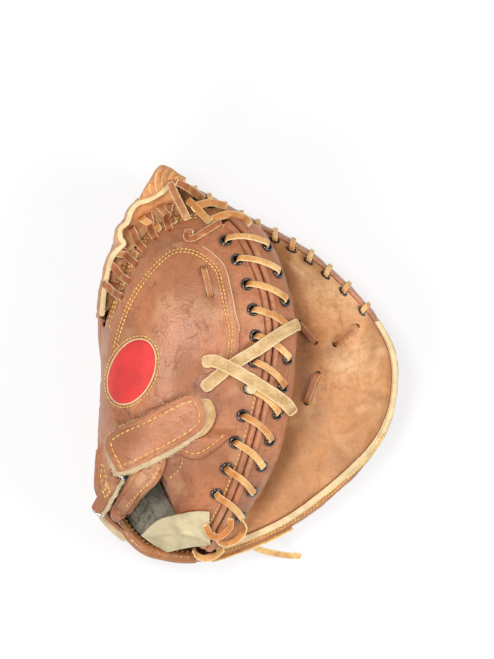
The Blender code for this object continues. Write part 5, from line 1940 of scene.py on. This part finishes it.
# Laces round the thumb's heel end, by place and height
HEEL_TURN = [
    (-2, -121, 93), (1, -128, 84), (-3, -136.5, 78), (-13, -142.5, 74), (-20.5, -140.5, 85), (-24, -133, 96),
]
HEEL_UNDER = [(-41, -147, 63), (-38, -152.5, 60), (-31, -155, 58), (-23, -152.5, 60), (-17, -147, 66)]


def thumb_strip(name, route, width, thickness, finish, tips, seed):
    """A band that lies over the thumb back, with the line that it follows."""
    route = smooth(route, 90)
    path = placed(thumb_top, route[:, :2], route[:, 2])
    way = np.gradient(route[:, :2], axis=0)
    across = left_of(way)
    strip = band(name, path, across, width, thickness, [finish], tips=tips, rough=0.05, seed=seed)
    return strip, path


def build_ties():
    """The two crossed suede ties, which are free cords."""
    for node, route, length, seed in (
        ("tie_lace_upper", TIE_UPPER, 0.107, 12), ("tie_lace_lower", TIE_LOWER, 0.1015, 13),
    ):
        tie, path = thumb_strip(
            f"{node}_suede", route, stock("tie_width"), stock("tie_thickness"), "suede", (0.6, 0.5), seed
        )
        attach(tie, "thumb_half", "suede", node)
        stock("tie_width") * MM


def build_short_laces():
    knot, _ = thumb_strip("toe_knot_lace", TOE_KNOT, stock("lace_width"), 1.8, "dark_rawhide", (0.7, 0.6), 14)
    attach(knot, "thumb_half", "rawhide", "toe_knot")
    loop, _ = thumb_strip("heel_loop_rawhide", HEEL_LOOP, stock("lace_width"), 1.6, "rawhide", (0.7, 0.6), 15)
    attach(loop, "thumb_half", "rawhide", "heel_loop_lace")
    for name, route, seed in (("heel_turn_lace", HEEL_TURN, 16), ("heel_under_lace", HEEL_UNDER, 18)):
        path = smooth(route, 90)
        outward = np.column_stack([path[:, :2] - THUMB_CENTRE, np.full(90, 40.0)])
        turn = band(
            name, path, outward, stock("lace_width"), 1.6, ["rawhide"], tips=(0.8, 0.8), seed=seed,
            worn=0.5,
        )
        attach(turn, "thumb_half", "rawhide")


TAG_OUTLINE = [
    (-82.3, -136.8), (-81.4, -135), (-70, -124), (-57, -119), (-41, -115.6), (-29, -115.4),
    (-27.6, -116.8), (-28, -128), (-27.2, -141.4), (-28.6, -143), (-46, -145.4),
    (-61, -149.8), (-63, -149.6), (-73, -144),
]
TAG_RIDGE = [(-81, -137.2), (-62, -134.2), (-46, -133.7), (-36, -136.5), (-27, -141.8)]
TAG_EDGE = -47.0
TAG_SLOPE = 1.06


def tag_height(x, y):
    """The tag lies on the thumb as far as the leather's edge, and hangs from there down to the heel."""
    over = thumb_top(np.maximum(x, TAG_EDGE), y)
    return over - TAG_SLOPE * np.maximum(TAG_EDGE - x, 0)


def build_tag():
    """A woven cloth tag with a soft fold and a curled edge."""
    def lift(margin, xy):
        fold = 1.3 * np.exp(-(((xy[:, 0] + 52 + 0.3 * (xy[:, 1] + 130)) / 4.0) ** 2))
        curl = 1.2 * (1 - ease(margin, 0, 4)) * ripple(xy, 16.0, 95)
        off = xy[:, 1] - np.interp(xy[:, 0], *zip(*TAG_RIDGE))
        fold = fold + 2.4 * np.exp(-((off / np.where(off > 0, 5.0, 1.6)) ** 2))
        return 3.6 + fold + curl + 0.5 * ripple(xy, 10.0, 96) + 1.1 * creases(xy, 22.0, 94, (0.5, 1.0))

    tag = disc(
        "size_tag_cloth", TAG_OUTLINE, (-54, -131), tag_height, lift, 80, 0.7,
        ["cloth"], edge=0.0,
    )
    attach_bending(tag, (-90, -132, 46), (-50, -132, 75), "tag_cloth", "size_tag")


# The wrist strap

WRIST_TAB = [
    (-5, -47), (-7.5, -52), (-14, -58.5), (-25, -68), (-36.5, -73.5), (-47, -72), (-56, -66), (-58, -57),
    (-44, -46), (-22, -42),
]
TONGUE = [
    (-62, -73), (-63, -81), (-68, -91), (-78, -101.5), (-87, -111), (-95.5, -120.5), (-102, -124.5),
    (-106, -122), (-106.5, -117), (-102, -107), (-96.5, -97), (-92, -88.5), (-85, -80), (-72, -71),
]
ANCHOR_TAB = [
    (-113.5, -63), (-106, -68), (-103, -88), (-109, -103), (-115, -107), (-119.8, -98), (-119.4, -82),
    (-117.8, -68),
]
ANCHOR_BOX = [(-112.5, -77), (-106, -98), (-109.5, -103.5), (-114.5, -89)]
LINER = [(-72, -52), (-46, -32), (-29, -25.5), (-22.5, -37), (-27.5, -50), (-38, -57), (-64, -68)]
FLAP = [
    (-108.5, -56), (-76, -38), (-45, -23), (-34, -26.5), (-30.5, -38.5), (-35, -50.5), (-61.5, -67),
    (-95, -82.5), (-102.5, -78.5),
]
FLAP_BACKING = [
    (-107.5, -57), (-76, -39.5), (-45, -24.5), (-35, -27.5), (-31, -38.5), (-34.5, -53), (-60.5, -71),
    (-94.5, -86), (-105, -81),
]
FLAP_CENTRE = (-68, -53)
FLAP_LIFT = 10.8
FLAP_SEWN_AT = 5.0


def rolled_lift(top, drop, sewn_at):
    """A lift with a turned-down edge and a sewn groove inside it."""
    def lift(margin, xy):
        edge = 1 - np.clip(margin / 3.6, 0, 1)
        groove = 1.1 * ridge(margin, sewn_at, 1.1)
        return top - drop * edge**2.2 - groove + 0.35 * ripple(xy, 14.0, 97)

    return lift


def anchor_box(grow):
    """The stitched box on the strap's lobe, at a share of its full size."""
    corners = np.array(ANCHOR_BOX)
    corners = corners.mean(0) + (corners - corners.mean(0)) * grow
    return along_line(np.vstack([corners, corners[:1]]), np.linspace(0, 1, 80))


def build_wrist_tabs():
    def tab_lift(margin, xy):
        sunk = ease(xy[:, 1], -58, -47)
        return rolled_lift(5.8, 3.6, 5.2)(margin, xy) * (1 - sunk) - 1.2 * sunk

    tab = disc(
        "wrist_tab_leather", WRIST_TAB, (-34, -57), thumb_top, tab_lift, 80, 2.2, BROWN
    )
    attach(tab, "thumb_half", "brown_leather", "thumb_wrist_tab")
    loop = part_of(inset_loop(WRIST_TAB, 5.2)[::-1], (-56, -60), (-16, -52))
    rows = [row_on(thumb_top, loop, 5.0)]
    tongue = disc(
        "wrist_tongue_leather", TONGUE, (-83, -97), wrist_height, rolled_lift(6.6, 3.6, 5.0), 90, 2.4, BROWN,
    )
    # Painted highlight: the worn mask lightens a long streak down the middle of the tongue.
    tone(tongue, [(-84, -98, 26, 12, 50, 0.9)], [])
    attach(tongue, "thumb_half", "brown_leather", "wrist_tongue")
    rows.append(row_on(wrist_height, part_of(inset_loop(TONGUE, 4.8), (-65, -79), (-93, -113)), 6.3))

    def anchor_lift(margin, xy):
        over_side = np.clip(-113 - xy[:, 0], 0, 9)
        return rolled_lift(3.0, 0.8, 3.0)(margin, xy) - 0.12 * over_side**2

    anchor = disc(
        "anchor_tab_leather", ANCHOR_TAB, (-110, -86), wrist_height, anchor_lift, 50, 1.7, BROWN,
    )
    attach(anchor, "thumb_half", "brown_leather", "strap_anchor_tab")
    rows += [row_on(wrist_height, anchor_box(grow), 2.9) for grow in (1.0, 0.45)]
    sew("wrist_stitching", rows, "thumb_half", 3.8, 4.6)
    liner = disc(
        "strap_liner_suede", LINER, (-46, -46), wrist_height, rolled_lift(9.3, 0.5, 3.0), 70, 1.6,
        ["suede", "edge", "suede"],
    )
    attach(liner, "thumb_half", "suede", "strap_liner")


def build_flap():
    """The strap's leather flap on its suede backing, with its stitched border and frayed raw edge."""
    def backing_lift(margin, xy):
        return FLAP_LIFT + 1.4 + 0.35 * ripple(xy, 20.0, 98)

    def lift(margin, xy):
        sewn = 0.6 * ridge(margin, FLAP_SEWN_AT)
        return FLAP_LIFT + 3.0 - sewn - 0.5 * (1 - ease(margin, 0, 2.0)) + 0.35 * ripple(xy, 20.0, 98)

    flap = disc(
        "strap_flap_leather", FLAP, FLAP_CENTRE, wrist_height, lift, 100, 1.3,
        BROWN,
    )
    attach(flap, "strap_flap", "brown_leather", "strap_flap")
    backing = disc(
        "strap_flap_backing", FLAP_BACKING, FLAP_CENTRE, wrist_height, backing_lift, 80, 1.4,
        ["backing"], edge=0.3,
    )
    attach(backing, "strap_flap", "suede")
    rows = [row_on(wrist_height, inset_loop(FLAP, FLAP_SEWN_AT), FLAP_LIFT + 2.7)]
    sew("strap_flap_stitching", rows, "strap_flap", 4.2, 5.0)
    loop = np.vstack([inset_loop(FLAP, 0.3), inset_loop(FLAP_BACKING, 0.3)])
    inner = np.vstack([inset_loop(FLAP, 2.0), inset_loop(FLAP_BACKING, 2.0)])
    line = placed(wrist_height, loop, np.full(len(loop), FLAP_LIFT + 1.5))
    outward = np.column_stack([loop - inner, np.full(len(loop), 0.4)])
    fray = fibres("strap_flap_fray", line, unit(outward), "edge", 1500, 2.2, 5)
    attach(fray, "strap_flap", "suede")


RING_CENTRE = (-104.0, -104.0)
RING_WAY = (0.5, 0.866)
RING_LONG = 36.0
RING_SHORT = 8.0
RING_CORNER = 3.0
RING_LIFT = 5.0


def build_ring():
    way = np.array(RING_WAY) * RING_LONG / 2
    ends = np.array([np.array(RING_CENTRE) - way, np.array(RING_CENTRE) + way])
    low, high = placed(wrist_height, ends, np.full(2, RING_LIFT))
    along = unit(high - low)
    middle = np.array([[RING_CENTRE[0] - 3.5, RING_CENTRE[1] + 2.0]])
    out = unit(np.cross(surface_normal(wrist_height, middle)[0], along))
    near, far = out * RING_CORNER, out * (RING_SHORT - RING_CORNER)
    start, end = low + along * RING_CORNER, high - along * RING_CORNER
    path = []
    for quarter, centre in ((2, start + near), (3, end + near), (0, end + far), (1, start + far)):
        for turn in np.radians(quarter * 90 + np.linspace(0, 90, 12)):
            path.append(centre + RING_CORNER * (along * math.cos(turn) + out * math.sin(turn)))
    path = smooth(path, 160, closed=True)
    wire = stock("wire") * 2
    ring = band(
        "strap_ring_wire", path, np.cross(along, out), wire, wire, ["nickel"], closed=True, rough=0.0
    )
    attach(ring, "strap_ring", "nickel_wire", "strap_ring")
    line = np.linspace(start, end, 80)
    turns = np.linspace(0, 5 * math.pi, 80)[:, None]
    rise = np.cross(along, out)
    near = band(
        "ring_sleeve_near", line + 0.3 * (out * np.cos(turns) + rise * np.sin(turns)),
        out * np.cos(turns) + rise * np.sin(turns), 4.4, 3.5, ["backing"], tips=(0.8, 0.8), seed=17,
    )
    attach(near, "thumb_half", "suede")
    far = band("ring_sleeve_far", line + out * 6.6, out, 9.6, 4.2, ["brown"], tips=(0.9, 0.9), seed=19)
    attach(far, "strap_ring", "brown_leather")
    rows = []
    for grow in (1.0, 0.45):
        flat = anchor_box(grow) - start[:2]
        along_share, out_share = np.linalg.solve(np.column_stack([along[:2], out[:2]]), flat.T)
        on_sleeve = out_share < 11.2
        row = start + along_share[:, None] * along + out_share[:, None] * out + rise * 2.15
        rows.append((row[on_sleeve], np.tile(rise, (on_sleeve.sum(), 1))))
    sew("ring_sleeve_stitching", rows, "strap_ring", 3.8, 4.6)


# The stage

CAMERA_HEIGHT = 4.0
CAMERA_CENTRE = (2.0, 28.8)
PHOTO_SPAN = 527.0
FOCUS_HEIGHT = 70.0
FLOOR_SIZE = 30
FLOOR_DROP = 0.0005
PAPER_GREY = (0.9, 0.9, 0.9, 1)
WHITE = (1, 1, 1, 1)
# How white the floor looks, the sky's light, and how much of its white shows in reflections
FLOOR_WHITE = 0.72
SKY_LIGHT = 0.36
SKY_SHINE = 0.25
# Lamps: name, place in metres, size and watts
LAMPS = (
    ("key", (-0.3, 0.2, 1.8), 0.4, 13.5), ("left_fill", (-0.7, -0.8, 1.2), 0.6, 8.0),
    ("right_fill", (1.0, -0.1, 1.2), 0.7, 9.0),
)


def build_camera():
    """A camera straight above the mitt, far off, whose long side spans the photo's height."""
    data = bpy.data.cameras.new("camera")
    data.sensor_width = 36.0
    data.lens = data.sensor_width * (CAMERA_HEIGHT - FOCUS_HEIGHT * MM) / (PHOTO_SPAN * MM)
    data.clip_end = 60.0
    camera = bpy.data.objects.new("camera", data)
    camera.location = (CAMERA_CENTRE[0] * MM, CAMERA_CENTRE[1] * MM, CAMERA_HEIGHT)
    bpy.context.scene.collection.objects.link(camera)
    bpy.context.scene.camera = camera


def white_to_camera(nodes, shader, share):
    """Mixes a shader towards plain white where the camera or a reflection sees it."""
    path = nodes.add("ShaderNodeLightPath").outputs
    seen = nodes.maths("MAXIMUM", path["Is Camera Ray"], path["Is Glossy Ray"])
    seen = nodes.maths("MAXIMUM", seen, path["Is Transmission Ray"])
    white = nodes.add("ShaderNodeEmission", {"Color": WHITE, "Strength": 1.0}).outputs[0]
    factor = nodes.times(seen, share)
    return nodes.add("ShaderNodeMixShader", {0: factor, 1: shader, 2: white}).outputs[0]


def build_floor():
    bpy.ops.object.select_all(action="DESELECT")
    bpy.ops.mesh.primitive_plane_add(size=FLOOR_SIZE, location=(0, 0, -FLOOR_DROP))
    floor = bpy.context.object
    floor.name = "floor"
    material = bpy.data.materials.new("floor_paper")
    material.use_nodes = True
    nodes = Nodes(material.node_tree)
    material.node_tree.nodes.clear()
    paper = nodes.add("ShaderNodeBsdfDiffuse", {"Color": PAPER_GREY}).outputs[0]
    nodes.add("ShaderNodeOutputMaterial", {"Surface": white_to_camera(nodes, paper, FLOOR_WHITE)})
    floor.data.materials.append(material)
    floor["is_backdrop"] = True


def build_lights():
    world = bpy.data.worlds.new("studio")
    world.use_nodes = True
    bpy.context.scene.world = world
    nodes = Nodes(world.node_tree)
    world.node_tree.nodes.clear()
    path = nodes.add("ShaderNodeLightPath").outputs
    seen = nodes.maths("MAXIMUM", path["Is Camera Ray"], path["Is Transmission Ray"])
    seen = nodes.maths("MAXIMUM", seen, nodes.times(path["Is Glossy Ray"], SKY_SHINE))
    strength = nodes.span(seen, 0.0, 1.0, SKY_LIGHT, 1.0)
    sky = nodes.add("ShaderNodeBackground", {"Color": WHITE, "Strength": strength}).outputs[0]
    nodes.add("ShaderNodeOutputWorld", {"Surface": sky})
    for name, place, size, watts in LAMPS:
        data = bpy.data.lights.new(name, "AREA")
        data.energy = watts
        data.shape = "DISK"
        data.size = size
        lamp = bpy.data.objects.new(name, data)
        lamp.location = place
        lamp.rotation_euler = (-Vector(place)).to_track_quat("-Z", "Y").to_euler()
        bpy.context.scene.collection.objects.link(lamp)


# Operators

class MITT_OT_stage(bpy.types.Operator):
    """Sets up the camera, the floor and the lights"""

    bl_idname = "mitt.stage"
    bl_label = "Stage"

    def execute(self, context):
        context.scene.view_settings.view_transform = "Standard"
        build_camera()
        build_floor()
        build_lights()
        return {"FINISHED"}


class MITT_OT_cords(bpy.types.Operator):
    """Makes the free ties and the lace end at the heel"""

    bl_idname = "mitt.cords"
    bl_label = "Free Ties"

    def execute(self, context):
        build_ties()
        build_heel_tail()
        return {"FINISHED"}


class MITT_OT_shell(bpy.types.Operator):
    """Makes the outer leather of the finger half"""

    bl_idname = "mitt.shell"
    bl_label = "Finger Shell"

    def execute(self, context):
        build_shell()
        return {"FINISHED"}


class MITT_OT_palm(bpy.types.Operator):
    """Makes the pocket leather, its pad, its ties and its rim"""

    bl_idname = "mitt.palm"
    bl_label = "Pocket"

    def execute(self, context):
        build_palm()
        build_binding()
        build_toe_lace()
        build_heel_lace()
        return {"FINISHED"}


class MITT_OT_wrist(bpy.types.Operator):
    """Makes the fleece, the rolled heel edge and the anchored strap"""

    bl_idname = "mitt.wrist"
    bl_label = "Wrist Opening"

    def execute(self, context):
        build_lining()
        build_heel_roll()
        build_anchor_strap()
        return {"FINISHED"}


class MITT_OT_web(bpy.types.Operator):
    """Makes the web, its peak, its lace and the leather at the fold"""

    bl_idname = "mitt.web"
    bl_label = "Web and Fold"

    def execute(self, context):
        build_web()
        build_inner_web()
        build_crown()
        build_web_lace()
        build_web_ties()
        build_fold()
        return {"FINISHED"}


class MITT_OT_thumb(bpy.types.Operator):
    """Makes the thumb's leather, pad, overlay and patch"""

    bl_idname = "mitt.thumb"
    bl_label = "Thumb"

    def execute(self, context):
        build_thumb_back()
        build_thumb_palm()
        build_overlay()
        build_badge()
        return {"FINISHED"}


class MITT_OT_seam(bpy.types.Operator):
    """Makes the laced seam with its welts and eyelets"""

    bl_idname = "mitt.seam"
    bl_label = "Laced Seam"

    def execute(self, context):
        build_welts()
        build_eyelets()
        build_thumb_lace()
        build_short_laces()
        return {"FINISHED"}


class MITT_OT_strap(bpy.types.Operator):
    """Makes the wrist strap with its tabs, flap and ring"""

    bl_idname = "mitt.strap"
    bl_label = "Wrist Strap"

    def execute(self, context):
        build_wrist_tabs()
        build_flap()
        build_ring()
        return {"FINISHED"}


class MITT_OT_tag(bpy.types.Operator):
    """Makes the cloth tag"""

    bl_idname = "mitt.tag"
    bl_label = "Tag"

    def execute(self, context):
        build_tag()
        return {"FINISHED"}


OPERATORS = (
    MITT_OT_stage, MITT_OT_cords, MITT_OT_shell, MITT_OT_palm, MITT_OT_wrist, MITT_OT_web, MITT_OT_thumb,
    MITT_OT_seam, MITT_OT_strap, MITT_OT_tag,
)


class MITT_PT_sidebar(bpy.types.Panel):
    """Lists the mitt's sizes, colours and steps"""

    bl_idname = "MITT_PT_sidebar"
    bl_label = "Catcher's Mitt"
    bl_space_type = "VIEW_3D"
    bl_region_type = "UI"
    bl_category = "Mitt"

    def draw(self, context):
        for group in (context.scene.mitt_sizes, context.scene.mitt_colours):
            column = self.layout.column()
            for name in group.__annotations__:
                column.prop(group, name)
        for operator in OPERATORS:
            self.layout.operator(operator.bl_idname)


CLASSES = (MittSizes, MittColours, *OPERATORS, MITT_PT_sidebar)


def register():
    for item in CLASSES:
        bpy.utils.register_class(item)
    bpy.types.Scene.mitt_sizes = PointerProperty(type=MittSizes)
    bpy.types.Scene.mitt_colours = PointerProperty(type=MittColours)


def unregister():
    del bpy.types.Scene.mitt_colours
    del bpy.types.Scene.mitt_sizes
    for item in reversed(CLASSES):
        bpy.utils.unregister_class(item)


def main():
    register()
    bpy.ops.mitt.stage()
    bpy.ops.mitt.cords()
    bpy.ops.mitt.shell()
    bpy.ops.mitt.palm()
    bpy.ops.mitt.wrist()
    bpy.ops.mitt.web()
    bpy.ops.mitt.thumb()
    bpy.ops.mitt.seam()
    bpy.ops.mitt.strap()
    bpy.ops.mitt.tag()
    boxes = {"cad": CAD_BOX, "visual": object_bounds()}
    boxes = {name: [list(corner) for corner in box] for name, box in boxes.items()}


if __name__ == "__main__":
    main()
